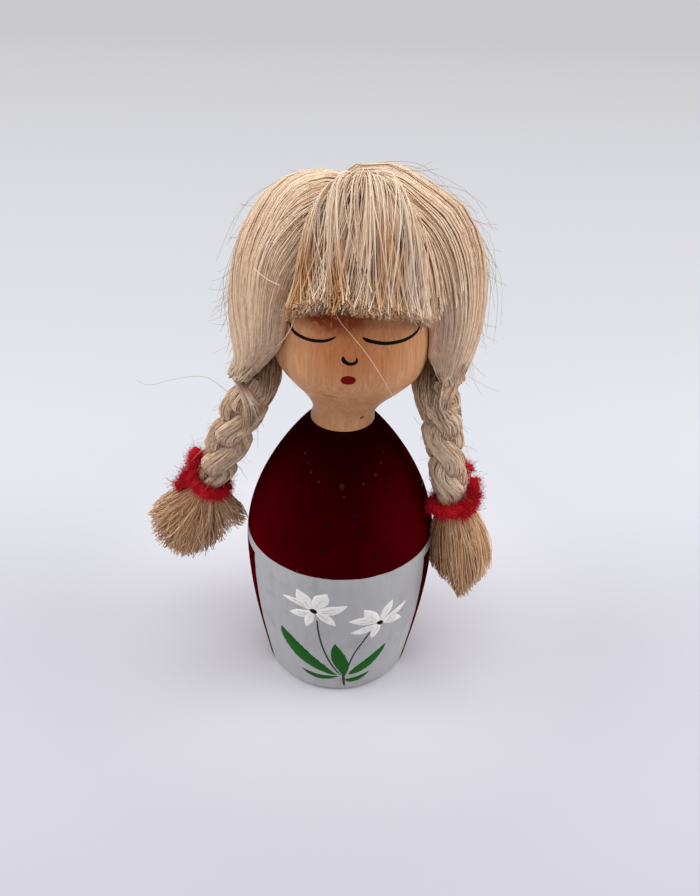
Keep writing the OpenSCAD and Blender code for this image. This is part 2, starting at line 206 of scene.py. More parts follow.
def noise(tree, place, scale, detail, **sockets):
    return add_node(tree, "TexNoise", Vector=place, Scale=scale, Detail=detail, **sockets).outputs["Fac"]


def bump(tree, height, strength, distance, **sockets):
    return add_node(tree, "Bump", Strength=strength, Distance=distance, Height=height,
                    **sockets).outputs["Normal"]


dress_paint, tree, shader, place = new_material("dark_red_varnish_and_silver_grey_paint_on_wood")
at = add_node(tree, "SeparateXYZ", Vector=place).outputs
# The brush wavers a little along each painted edge
waver = ranged(tree, noise(tree, place, 260, 2), 0.3, 0.7, -0.00007, 0.00007)
height = calc(tree, "ADD", at["Z"], waver)
turn = calc(tree, "ARCTAN2", at["X"], times(tree, at["Y"], -1))
side_turn = calc(tree, "ABSOLUTE", calc(tree, "MULTIPLY_ADD", waver, 90, turn))
under_waist = step(tree, height, WAIST_TOP, 0.00008, rising=False)
over_band = step(tree, height, WAIST_LOW, 0.00008)
within_apron = step(tree, side_turn, APRON_SIDE, 0.003, rising=False)
line_here = times(tree, step(tree, side_turn, APRON_SIDE, 0.003),
                  step(tree, side_turn, LINE_SIDE, 0.006, rising=False))
apron_here = times(tree, under_waist, calc(tree, "MAXIMUM", over_band, within_apron))
# The red lies thinner in places, and small specks of dust are caught in its varnish
red = colour_ramp(tree, noise(tree, place, 90, 3), ((0.3, "#460006"), (0.55, "#500008"), (0.75, "#5a020c")))
# Painted shade: the red is darker down the front and towards the neck, where less light falls
painted_front_shade = step(tree, side_turn, math.radians(36), 0.6, rising=False)
red = colours_mixed(tree, times(tree, painted_front_shade, 0.6), red, "#240002")
painted_neck_shade = step(tree, at["Z"], 0.06, 0.016)
red = colours_mixed(tree, times(tree, painted_neck_shade, 0.85), red, "#140002")
dust = add_node(tree, "TexVoronoi", Vector=place, Scale=210).outputs
dust_here = times(tree, step(tree, dust["Distance"], 0.045, 0.02, rising=False),
                  step(tree, add_node(tree, "SeparateColor", Color=dust["Color"]).outputs["Red"], 0.86, 0.02))
red = colours_mixed(tree, times(tree, dust_here, 0.5), red, "#8a5a50")
red = colours_mixed(tree, times(tree, line_here, under_waist), red, "#240308")
# Grey paint in short upright strokes, soiled here and there
strokes = noise(tree, mapped(tree, place, Scale=(1, 1, 0.22)), 420, 4)
grey = colour_ramp(tree, strokes, ((0.3, "#b3b2b2"), (0.5, "#b7b6b6"), (0.7, "#bab9b9")))
soiled = times(tree, step(tree, noise(tree, place, 150, 5, Roughness=0.65), 0.6, 0.07), 0.28)
grey = colours_mixed(tree, soiled, grey, "#8d8a84")
# Orange peel of the varnish, and the step of the second coat at the apron's edge
peel = bump(tree, noise(tree, place, 700, 2), 0.04, 0.0004)
set_inputs(tree, shader, Base_Color=colours_mixed(tree, apron_here, red, grey), IOR=1.45,
           Specular_IOR_Level=0, Roughness=ranged(tree, apron_here, 0, 1, 0.34, 0.46),
           Normal=bump(tree, apron_here, 0.6, 0.00006, Normal=peel))


def lerp(a, b, t):
    return a + (b - a) * t


def dress_radius(height):
    """Radius of the dress at a height in millimetres above its rounded foot."""
    if height > BELLY_H:
        narrowing = max(math.cos(math.pi / 2 * (height - BELLY_H) / (BODY_H - BELLY_H)), 0)
        return lerp(NECK_R, BELLY_R, narrowing ** 0.85)
    return lerp(FOOT_R, BELLY_R, math.sin(math.pi / 2 * (height - FOOT_ROUND) / (BELLY_H - FOOT_ROUND)))


outline = [(0, 0)]
for a in np.linspace(0, math.pi / 2, 9):
    outline.append((FOOT_R - FOOT_ROUND * (1 - math.sin(a)), FOOT_ROUND * (1 - math.cos(a))))
for z in [*np.linspace(FOOT_ROUND, BELLY_H, 24)[1:],
          *(BELLY_H + (BODY_H - BELLY_H) * np.sin(np.linspace(0, math.pi / 2, 42))[1:])]:
    outline.append((dress_radius(z), z))
# A drilled hole in the top takes the spigot of the head. It leans with the head.
outline += [(SOCKET_R, BODY_H), (SOCKET_R, SOCKET_END), (0, SOCKET_END)]
dress_data = bpy.data.meshes.new("dress")
dress_data.from_pydata([(r * MM, 0, z * MM) for r, z in outline],
                       [(i, i + 1) for i in range(len(outline) - 1)], [])
dress = bpy.data.objects.new("dress", dress_data)
bpy.context.scene.collection.objects.link(dress)
bpy.ops.object.select_all(action="DESELECT")
bpy.context.view_layer.objects.active = dress
dress.select_set(True)
bpy.ops.object.mode_set(mode="EDIT")
bpy.ops.mesh.select_all(action="SELECT")
bpy.ops.mesh.spin(steps=160, angle=2 * math.pi, center=(0, 0, 0), axis=(0, 0, 1))
bpy.ops.mesh.select_all(action="SELECT")
bpy.ops.mesh.remove_doubles(threshold=0.00001)
bpy.ops.mesh.normals_make_consistent(inside=False)
bpy.ops.object.mode_set(mode="OBJECT")
for corner in dress.data.vertices:
    if math.hypot(corner.co.x, corner.co.y) < (SOCKET_R + 0.1) * MM and corner.co.z > (SOCKET_END - 1) * MM:
        corner.co.x += (corner.co.z - BODY_H * MM) * math.tan(HEAD_LEAN)
bpy.ops.object.shade_smooth_by_angle(angle=math.radians(35))
dress.data.materials.append(dress_paint)
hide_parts("dress_body")
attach(dress, "doll")

# Head. A turned ball on a neck, in pale wood that is sanded and lacquered, with its spigot
# glued into the body. Amber glue has run from under the fringe onto the forehead.
HEAD_R = 17.5
head_wood, tree, shader, place = new_material("lacquered_birch")
fine = noise(tree, mapped(tree, place, Scale=(1, 1, 0.035)), 2600, 3, Roughness=0.6)
broad = noise(tree, mapped(tree, place, Scale=(1, 1, 0.12)), 420, 4, Distortion=0.6)
wood = colour_ramp(tree, broad, ((0.28, "#c28658"), (0.5, "#d09567"), (0.72, "#ddaa7e")))
pores = colour_ramp(tree, fine, ((0.3, "#a5653a"), (0.48, "#cb9163"), (0.7, "#dfae80")))
wood = colours_mixed(tree, 0.45, wood, pores)


def spot(tree, place, centre, radii, softness):
    """1 inside an egg-shaped place on the surface and 0 outside it. Sizes are in millimetres."""
    moved = mapped(tree, place, Location=[-c / r for c, r in zip(centre, radii)],
                   Scale=[1 / MM / r for r in radii])
    length = add_node(tree, "VectorMath", {"operation": "LENGTH"}, Vector=moved).outputs["Value"]
    return step(tree, length, 1, softness, rising=False)


run = noise(tree, place, 420, 4, Distortion=1.2)
glue_here = times(tree, spot(tree, place, (-2.4, -15.0, 104.7), (7.8, 7, 2.9), 0.5),
                  step(tree, run, 0.41, 0.14))
# The middle of the face is painted darker and more orange, as shade where the side lamps reach it less
painted_face_shade = spot(tree, place, (1.4, -17.2, 98.6), (9.5, 8, 6.4), 0.9)
knot = spot(tree, place, (4.3, -6.4, 77.1), (0.45, 0.9, 0.5), 0.3)
scratch = times(tree, spot(tree, place, (-3.4, -14.2, 86.9), (2.6, 2.5, 0.28), 0.5),
                step(tree, fine, 0.45, 0.06))
for here, share, colour in ((painted_face_shade, 0.55, "#b4560f"), (glue_here, 0.92, "#8a2f00"), (knot, 0.85, "#6b3a1c"),
                            (scratch, 0.6, "#8c4433")):
    wood = colours_mixed(tree, times(tree, here, share), wood, colour)
grain_bump = bump(tree, fine, 0.16, 0.0002)
set_inputs(tree, shader, Base_Color=wood, Roughness=ranged(tree, glue_here, 0, 1, 0.46, 0.36), IOR=1.5,
           Specular_IOR_Level=0.16, Normal=bump(tree, glue_here, 0.5, 0.0002, Normal=grain_bump))
head = parts["head"]
head.material_slots[0].material = head_wood


# Painted face. Closed eyes, a small nose and a mouth are brushed on the bare wood in black and
# dark red, each in a single stroke that stands a little proud of it.
FACE_X = 1.44
APRON_R = 23.0


def on_wood(node, turn, height, middle):
    """Place and normal on a turned piece, at a turn from its front in degrees and a height in millimetres."""
    a = math.radians(turn)
    away = Vector((math.sin(a), -math.cos(a), 0))
    _, place, normal, _ = node.ray_cast(Vector((middle * MM, 0, height * MM)) + 0.06 * away, -away)
    return place, normal


def between(a, b, c, d, t):
    """Place at t, from 0 at b to 1 at c, on the smooth curve through four places."""
    return 0.5 * (2 * b + (c - a) * t + (2 * a - 5 * b + 4 * c - d) * t ** 2
                  + (3 * b - a - 3 * c + d) * t ** 3)


def smooth_line(points, count):
    """Points spread evenly along a smooth curve through the given ones."""
    points = np.array(points, float)
    padded = np.vstack([2 * points[0] - points[1], points, 2 * points[-1] - points[-2]])
    shares = np.linspace(0, 1, 24, endpoint=False)
    line = [between(*padded[i:i + 4], t) for i in range(len(points) - 1) for t in shares]
    line = np.array(line + [points[-1]])
    along = np.r_[0, np.cumsum(np.linalg.norm(np.diff(line[:, :2], axis=0), axis=1))]
    evenly = np.linspace(0, along[-1], count)
    return np.stack([np.interp(evenly, along, values) for values in line.T], axis=-1)


def brush_stroke(mesh, node, points, count=24, columns=7, thick=0.07, ragged=0.0, seed=1):
    """Adds a stroke to a bmesh. A point is a turn in degrees, a height and a half width in millimetres."""
    radius, middle = (HEAD_R, FACE_X) if node is head else (APRON_R, 0)
    line = smooth_line([(radius * math.radians(turn), height, half) for turn, height, half in points], count)
    rng = np.random.default_rng(seed)
    rows = []
    for k, (u, v, half) in enumerate(line):
        du, dv, _ = line[min(k + 1, count - 1)] - line[max(k - 1, 0)]
        size = math.hypot(du, dv) or 1
        row = []
        for s in np.linspace(-1, 1, columns):
            off = s * half * (1 + (rng.uniform(-ragged, ragged) if abs(s) == 1 else 0))
            place, normal = on_wood(node, math.degrees((u - dv / size * off) / radius),
                                    v + du / size * off, middle)
            rise = thick * (1 - abs(s) ** 3) * min(1, 6 * min(k, count - 1 - k) / (count - 1) + 0.15) - 0.012
            row.append(mesh.verts.new(place + normal * rise * MM))
        rows.append(row)
    for a, b in zip(rows, rows[1:]):
        for j in range(columns - 1):
            mesh.faces.new((a[j], a[j + 1], b[j + 1], b[j]))


def finish_paint(name, mesh, material):
    """Makes the strokes one object, closed underneath, with their faces turned away from the wood."""
    data = bpy.data.meshes.new(name)
    mesh.to_mesh(data)
    mesh.free()
    piece = bpy.data.objects.new(name, data)
    bpy.context.scene.collection.objects.link(piece)
    data.materials.append(material)
    for face in data.polygons:
        face.use_smooth = True
    face = data.polygons[len(data.polygons) // 2]
    if face.normal.x * face.center.x + face.normal.y * face.center.y < 0:
        data.flip_normals()
    bpy.ops.object.select_all(action="DESELECT")
    piece.select_set(True)
    bpy.context.view_layer.objects.active = piece
    bpy.ops.object.modifier_add(type="SOLIDIFY")
    piece.modifiers[0].thickness = 0.2 * MM
    piece.modifiers[0].offset = -1
    bpy.ops.object.modifier_apply(modifier=piece.modifiers[0].name)
    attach(piece, "doll")


def brush_paint(name, colour, rough, streak):
    """Poster paint laid on with a small brush: opaque, with faint streaks and a soft sheen."""
    material, tree, shader, place = new_material(name)
    streaks = noise(tree, place, 1500, 3)
    streaked = colours_mixed(tree, ranged(tree, streaks, 0.3, 0.7, 0, streak), colour,
                             "#000000" if sum(linear(colour)) > 0.2 else "#24211f")
    set_inputs(tree, shader, Base_Color=streaked, Roughness=rough, Specular_IOR_Level=0.06,
               Normal=bump(tree, streaks, 0.25, 0.0001))
    return material


black_paint = brush_paint("black_poster_paint", "#0c090a", 0.5, 0.05)
lip_paint = brush_paint("dark_red_poster_paint", "#74040a", 0.45, 0.1)
eyes, lips = bmesh.new(), bmesh.new()
for count, points in (
        (40, [(-52.5, 101.5, 0.4), (-48, 100.45, 0.4), (-42, 99.95, 0.38), (-32, 99.7, 0.36),
              (-21, 100.0, 0.34), (-14, 100.75, 0.28), (-11, 101.35, 0.12)]),
        (40, [(6.6, 101.4, 0.16), (9.2, 100.95, 0.4), (13.8, 100.45, 0.4), (24.7, 99.75, 0.4),
              (39.6, 99.6, 0.38), (51.5, 100.1, 0.34), (60, 101.1, 0.14)]),
        (26, [(-5.2, 97.5, 0.26), (-5.5, 96.95, 0.46), (-4.2, 96.35, 0.48), (-1.0, 95.98, 0.4),
              (1.9, 96.15, 0.38), (3.5, 96.7, 0.32), (3.1, 97.35, 0.14)])):
    brush_stroke(eyes, head, points, count)
brush_stroke(lips, head, [(-7.2, 92.05, 0.12), (-6.2, 92.08, 0.72), (-4, 92.15, 1.05), (-1.8, 92.2, 1.15),
                          (0.6, 92.22, 1.02), (2.6, 92.3, 0.66), (3.4, 92.3, 0.12)], 22, 9)
finish_paint("painted_eyes_and_nose", eyes, black_paint)
finish_paint("painted_mouth", lips, lip_paint)

# Painted flowers. Two white blooms on thin stems rise from a tuft of leaves on the apron, an
# old country pattern, brushed petal by petal in thick white and green paint.
blooms = [
    ((-14.3, 32.7), [(-24.4, 38.6, 2.0), (-34.4, 34.6, 0.95), (-30.0, 30.0, 1.3), (-19.3, 26.5, 1.15),
                     (-1.2, 28.2, 1.3), (5.2, 35.2, 1.45), (-6.4, 38.9, 1.9)]),
    ((26.2, 27.4), [(15.2, 33.4, 1.65), (6.2, 29.7, 1.35), (7.8, 25.4, 1.2), (21.4, 22.0, 1.2),
                    (42.6, 25.4, 1.4), (45.0, 31.0, 1.1), (33.4, 34.0, 1.35)]),
]
petals, veins, bloom_centres, stems, leaves = (bmesh.new() for _ in range(5))
for (x, y), tips in blooms:
    for number, (turn_to, height_to, half) in enumerate(tips):
        start, way = np.array((x, y)), np.array((turn_to - x, height_to - y))
        bow = np.array((way[1], -way[0])) * (0.03 if number % 2 else -0.03)

        def on_petal(t, off=0.0):
            return start + way * t + bow * math.sin(math.pi * t) + np.array((way[1], -way[0] * 0.4)) * off

        widths = ((0.04, 0.25), (0.22, 0.62), (0.42, 0.95), (0.6, 1.0), (0.78, 0.72), (0.92, 0.32),
                  (1.0, 0.06))
        brush_stroke(petals, dress, [(*on_petal(t), half * w) for t, w in widths], 26, 9, 0.16, 0.06,
                     10 + number)
        for off in ((-0.05, 0.06) if number % 3 else (0.0,)):
            vein = [(*on_petal(t, off * t * 2), 0.11 * w) for t, w in ((0.16, 1.1), (0.4, 1), (0.72, 0.5))]
            brush_stroke(veins, dress, vein, 12, 3, 0.2)
    centre = [(x - 2.4, y + 0.5, 0.2), (x - 1.2, y + 0.2, 0.72), (x + 0.6, y - 0.2, 0.8),
              (x + 2.2, y - 0.5, 0.25)]
    brush_stroke(bloom_centres, dress, centre, 12, 7, 0.24, 0.2, 5)
for count, thick, points in (
        (40, 0.1, [(-12.4, 29.6, 0.26), (-11.6, 25.0, 0.24), (-9.4, 19.5, 0.25), (-5.0, 13.5, 0.27),
                   (0.2, 9.0, 0.25), (3.4, 7.2, 0.2)]),
        (36, 0.1, [(20.2, 24.8, 0.26), (15.6, 20.8, 0.25), (11.5, 17.2, 0.24), (8.6, 12.8, 0.26),
                   (6.6, 9.4, 0.26)]),
        (24, 0.12, [(4.4, 10.5, 0.3), (4.9, 7.0, 0.42), (5.4, 4.0, 0.4), (6.2, 1.9, 0.25)])):
    brush_stroke(stems, dress, points, count, 5, thick)
for seed, (count, columns, thick, ragged, points) in enumerate((
        (48, 9, 0.13, 0.09, [(-37.8, 22.6, 0.1), (-36.0, 20.6, 1.5), (-30.5, 17.2, 2.5), (-22.5, 13.9, 2.6),
                             (-13, 10.9, 1.9), (-4.5, 8.4, 0.9), (0.4, 7.5, 0.15)]),
        (34, 7, 0.12, 0.08, [(-26.0, 7.8, 0.1), (-21.5, 6.7, 0.75), (-14.0, 5.9, 1.05), (-6, 6.1, 0.85),
                             (1.5, 6.9, 0.15)]),
        (34, 9, 0.15, 0.05, [(-1.4, 21.2, 0.1), (-1.0, 18.8, 1.2), (1.3, 14.8, 2.05), (4.0, 11.0, 1.8),
                             (5.2, 8.0, 0.8), (5.2, 6.6, 0.2)]),
        (40, 9, 0.13, 0.09, [(33.4, 17.6, 0.1), (30.0, 15.6, 1.1), (23.6, 12.4, 1.8), (16.4, 9.8, 1.75),
                             (10.4, 8.0, 0.8), (8.6, 7.4, 0.15)]),
        (28, 7, 0.12, 0.08, [(24.4, 7.2, 0.1), (20.0, 5.9, 0.8), (14.8, 4.9, 1.1), (9.5, 4.7, 0.95),
                             (6.4, 5.3, 0.2)])), 3):
    brush_stroke(leaves, dress, points, count, columns, thick, ragged, seed)
# Round the neck the worn traces of gold beads with a pendant are left, and below them dark dots
beads, marks = bmesh.new(), bmesh.new()
for number, (turn_to, height_to, size) in enumerate([
        (-43.5, 68.6, 0.5), (-35.5, 67.2, 0.4), (-29.1, 65.8, 0.55), (-19.8, 64.5, 0.55), (0.6, 64.0, 0.85),
        (2.4, 62.0, 0.5), (19.3, 64.2, 0.5), (32.4, 65.4, 0.6), (42.2, 67.1, 0.5), (51.0, 68.6, 0.45)]):
    reach = 60 * size / 24
    brush_stroke(beads, dress, [(turn_to - reach, height_to, 0.12), (turn_to, height_to + 0.1, size * 0.8),
                                (turn_to + reach, height_to, 0.12)], 9, 7, 0.045, 0.45, 30 + number)
for number, (turn_to, height_to) in enumerate(
        [(-8.5, 56.3), (-11.8, 50.6), (8.9, 58.1), (12.8, 54.6), (21.9, 48.6)]):
    brush_stroke(marks, dress, [(turn_to - 1.9, height_to, 0.2), (turn_to, height_to, 0.72),
                                (turn_to + 1.9, height_to, 0.2)], 9, 7, 0.045, 0.35, 50 + number)
for name, mesh, paint in (
        ("worn_beads", beads, brush_paint("worn_gold_paint", "#3a120a", 0.6, 0.06)),
        ("worn_dots", marks, brush_paint("near_black_red_paint", "#180003", 0.6, 0)),
        ("painted_petals", petals, brush_paint("white_poster_paint", "#fcfaf3", 0.5, 0.1)),
        ("painted_petal_veins", veins, brush_paint("brown_poster_paint", "#5e4a30", 0.5, 0.1)),
        ("painted_bloom_centres", bloom_centres, black_paint),
        ("painted_stems", stems, brush_paint("brown_green_poster_paint", "#343d1c", 0.45, 0.15)),
        ("painted_leaves", leaves, brush_paint("green_poster_paint", "#0a6408", 0.42, 0.4))):
    finish_paint(name, mesh, paint)

# Hair. It is real flax, cut in lengths and glued to the crown. Each bundle is a closed core with
# single fibres laid over it, as thin threads that follow the shape of the CAD solid. Loose hair
# is fibres alone.
# Each fibre carries a tone, from shadow to bleached, which the material turns into a colour.
def toned(tree, place, scale, detail, fleck):
    """The tone of a fibre, with flecks in it."""
    tone = add_node(tree, "Attribute", {"attribute_name": "tone"}).outputs["Fac"]
    return calc(tree, "ADD", tone, ranged(tree, noise(tree, place, scale, detail), 0.3, 0.7, -fleck, fleck))


flax, tree, shader, place = new_material("combed_flax_fibre")
gold = add_node(tree, "Attribute", {"attribute_name": "gold"}).outputs["Fac"]
flax_colour = colour_ramp(tree, toned(tree, place, 900, 2, 0.07), (
    (0.0, "#6e4a33"), (0.3, "#a98568"), (0.6, "#dcbb9d"), (0.85, "#f4d9bb"), (1, "#ffeeda")))
gold_colour = colours_mixed(tree, 1.0, flax_colour, "#e2b67c", "MULTIPLY")
set_inputs(tree, shader, Base_Color=colours_mixed(tree, gold, flax_colour, gold_colour), Roughness=0.5,
           IOR=1.53, Specular_IOR_Level=0.15)

HEAD_MID = np.array((1.437, 0.0, 94.450))
HEAD_AXIS = np.array((math.sin(HEAD_LEAN), 0, math.cos(HEAD_LEAN)))
CROWN_RISE, HAIR_GAP = 19.5, 0.3
HAIR_MID = HEAD_MID + (1.5, 3.0, 5.6)
HAIR_SEMI, HAIR_SEMI_LOW = np.array((28.3, 26.0, 32.0)), np.array((28.3, 26.0, 40.0))
SIDES = {"left": -1, "right": 1}


def ease(t):
    t = np.clip(t, 0, 1)
    return t * t * (3 - 2 * t)


def hump(x, middle, width):
    return np.exp(-((x - middle) / width) ** 2)


def dots(a, b):
    return np.sum(a * b, axis=-1)


def unit(v):
    return v / np.maximum(np.linalg.norm(v, axis=-1, keepdims=True), 1e-9)


def curve_at(values, t):
    """Value at t, from 0 to 1, of the smooth curve through evenly spaced values."""
    values = np.asarray(values, float)
    last = len(values) - 1
    along = np.clip(t, 0, 1) * last
    i = np.minimum(np.floor(along).astype(int), last - 1)
    u = along - i
    u = u.reshape(u.shape + (1,) * (values.ndim - 1))
    return between(*(values[np.clip(i + k, 0, last)] for k in (-1, 0, 1, 2)), u)


def bezier(u, *places):
    """Curves from the first places to the last, drawn towards those in between, at each u from 0 to 1."""
    v, n = u[None, :, None], len(places) - 1
    return sum(math.comb(n, k) * v ** k * (1 - v) ** (n - k) * place[:, None]
               for k, place in enumerate(places))


def wood_reach(d):
    """Distance from the middle of the head to its surface in a direction."""
    rise = dots(d, HEAD_AXIS)
    return 1 / np.sqrt((1 - rise ** 2) / HEAD_R ** 2
                       + rise ** 2 / np.where(rise > 0, CROWN_RISE, HEAD_R) ** 2)


def hair_reach(d):
    """Distance from the middle of the head to the outside of the hair, which is an egg."""
    def reach(semi):
        du, ou = d / semi, (HEAD_MID - HAIR_MID) / semi
        a, b, c = dots(du, du), dots(du, ou), dots(ou, ou) - 1
        return (np.sqrt(b * b - a * c) - b) / a
    top = reach(HAIR_SEMI)
    return np.where(HEAD_MID[2] + top * d[..., 2] > HAIR_MID[2], top, reach(HAIR_SEMI_LOW))


def make_mesh(name, places, faces, material, tones, golds):
    """A mesh object from places in millimetres and a list of face arrays, with its tones."""
    data = bpy.data.meshes.new(name)
    data.from_pydata((np.asarray(places) * MM).tolist(), [], [f for block in faces for f in block.tolist()])
    data.materials.append(material)
    data.polygons.foreach_set("use_smooth", [True] * len(data.polygons))
    for attribute, values in (("tone", tones), ("gold", golds)):
        layer = data.attributes.new(attribute, "FLOAT", "POINT")
        layer.data.foreach_set("value", np.asarray(values, np.float32))
    piece = bpy.data.objects.new(name, data)
    bpy.context.scene.collection.objects.link(piece)
    return piece


def core(name, rings, tone, gold=0.0, flip=False, material=flax):
    """A closed solid over rings of places, which shows between the fibres."""
    n, m, _ = rings.shape
    places = np.vstack([rings.reshape(-1, 3), rings[0].mean(0), rings[-1].mean(0)])
    k, i = np.meshgrid(np.arange(n - 1), np.arange(m), indexing="ij")
    a, b = (k * m + i).ravel(), (k * m + (i + 1) % m).ravel()
    ring = np.arange(m)
    after = (ring + 1) % m
    faces = [np.c_[a, b, b + m, a + m], np.c_[np.full(m, n * m), after, ring],
             np.c_[np.full(m, n * m + 1), (n - 1) * m + ring, (n - 1) * m + after]]
    if flip:
        faces = [f[:, ::-1] for f in faces]
    return make_mesh(name, places, faces, material, np.full(len(places), tone), np.full(len(places), gold))


def fibres(name, paths, outward, widths, tones, golds=0.0, material=flax):
    """Three-sided threads along paths, one row of places each, with a ridge that faces outward."""
    count, n, _ = paths.shape
    along = unit(np.gradient(paths, axis=1))
    side = unit(np.cross(along, outward))
    out = np.cross(side, along)
    w = np.broadcast_to(widths, (count, n))[..., None]
    low = paths - out * w * 0.3
    corners = np.stack([paths + out * w * 0.45, low - side * w * 0.5, low + side * w * 0.5], axis=2)
    start = (np.arange(count) * n * 3)[:, None]
    at = start[..., None] + (np.arange(n - 1) * 3)[None, :, None]
    a, b = at + np.array([0, 1, 2]), at + np.array([1, 2, 0])
    faces = [np.stack([a + 3, b + 3, b, a], axis=-1).reshape(-1, 4),
             start + (n - 1) * 3 + np.array([0, 1, 2]), start + np.array([0, 2, 1])]
    tones, golds = (np.repeat(np.broadcast_to(v, (count, n)).reshape(-1), 3)
                    for v in (np.clip(tones, 0, 1), golds))
    return make_mesh(name, corners.reshape(-1, 3), faces, material, tones, golds)


def wander(rng, count, t, size, waves=3):
    """A slow random drift for each of many fibres along t, of about the given size."""
    out = np.zeros((count, len(t)))
    for k in range(1, waves + 1):
        height = rng.normal(0, size / k, (count, 1))
        out += height * np.sin(math.pi * k * t[None, :] + rng.uniform(0, 2 * math.pi, (count, 1)))
    return out


def joined(pieces, name):
    """Several objects made one."""
    bpy.ops.object.select_all(action="DESELECT")
    for piece in pieces:
        piece.select_set(True)
    bpy.context.view_layer.objects.active = pieces[0]
    bpy.ops.object.join()
    pieces[0].name = name
    pieces[0].data.name = name
    return pieces[0]


# Hanks. The hair is parted in the middle and combed down over each side of the head into the
# plait, with the fibres lying close, smooth and nearly parallel.
ROOT_R = 4.8
FALL = math.radians(28)
FALL_BACK = np.array((0, math.cos(FALL), -math.sin(FALL)))
FALL_UP = np.array((0, math.sin(FALL), math.cos(FALL)))
ROOT_END = {"left": HEAD_MID + (-22.4, -3.0, -8.2), "right": HEAD_MID + (20.2, -3.0, -8.2)}
PARTING_TURN = math.asin(0.6 / (2 * HEAD_R))
# The edges of a hank down its length, each as a turn from the parting and a swing to the back, in degrees
front_edge = {
    "left": [(0, -22), (12, -29), (22, -35), (37, -43), (55, -45), (74, -44), (93, -40), (104, -32),
             (108, -21), (107, -12)],
    "right": [(0, -22), (12, -25), (22, -28), (37, -33), (55, -33), (74, -29), (93, -23), (104, -18),
              (108, -15), (107, -12)],
}
back_edge = [(0, 68), (18, 67), (36, 63), (54, 56), (70, 47), (83, 37), (94, 27), (101, 20), (105, 16),
             (107, 14)]
fullness = {"left": [0.8, 0.91, 1.0, 1.04, 1.04, 1.03, 1.02, 1.02, 1.03, 1.06, 1.1, 1.11, 1.07],
            "right": [0.92, 1.01, 1.0, 0.97, 1.04, 1.03, 0.97, 0.92, 0.88, 0.85, 0.83, 0.84, 0.86]}


def hank_place(which, t, s, lift, over=0.0):
    """Place on a hank, t down it and s across it from front to back, with lift 0 at the wood and 1 outside.
    At the parting, a fibre starts over radians on its own side of it."""
    side, lift = SIDES[which], np.asarray(lift)
    angles = np.radians(lerp(curve_at(front_edge[which], t), curve_at(back_edge, t), s[..., None]))
    turn_by, swing_by = np.maximum(angles[..., 0], PARTING_TURN), angles[..., 1]
    turn_by = lerp(turn_by, over, hump(t, 0, 0.07)) if np.any(over) else turn_by
    d = (np.stack([side * np.sin(turn_by) * np.cos(swing_by), 0 * t, 0 * t], axis=-1)
         + np.sin(swing_by)[..., None] * FALL_BACK
         + (np.cos(turn_by) * np.cos(swing_by))[..., None] * FALL_UP)
    inner = wood_reach(d) + HAIR_GAP
    full = (hair_reach(d) - inner) * curve_at(fullness[which], t)
    bulge = np.sqrt(np.clip(1 - np.abs(2 * s - 1) ** 5, 0, 1))
    shell = HEAD_MID + (inner + full * bulge * lift)[..., None] * d
    beta = math.pi * s
    away = np.stack([side * np.sin(beta), -np.cos(beta), 0 * s], axis=-1)
    bundle = ROOT_END[which] + ROOT_R * lift[..., None] * away
    draw = ease((t - 0.78) / 0.22)[..., None]
    return lerp(shell, bundle, draw), unit(lerp(d, away, draw))


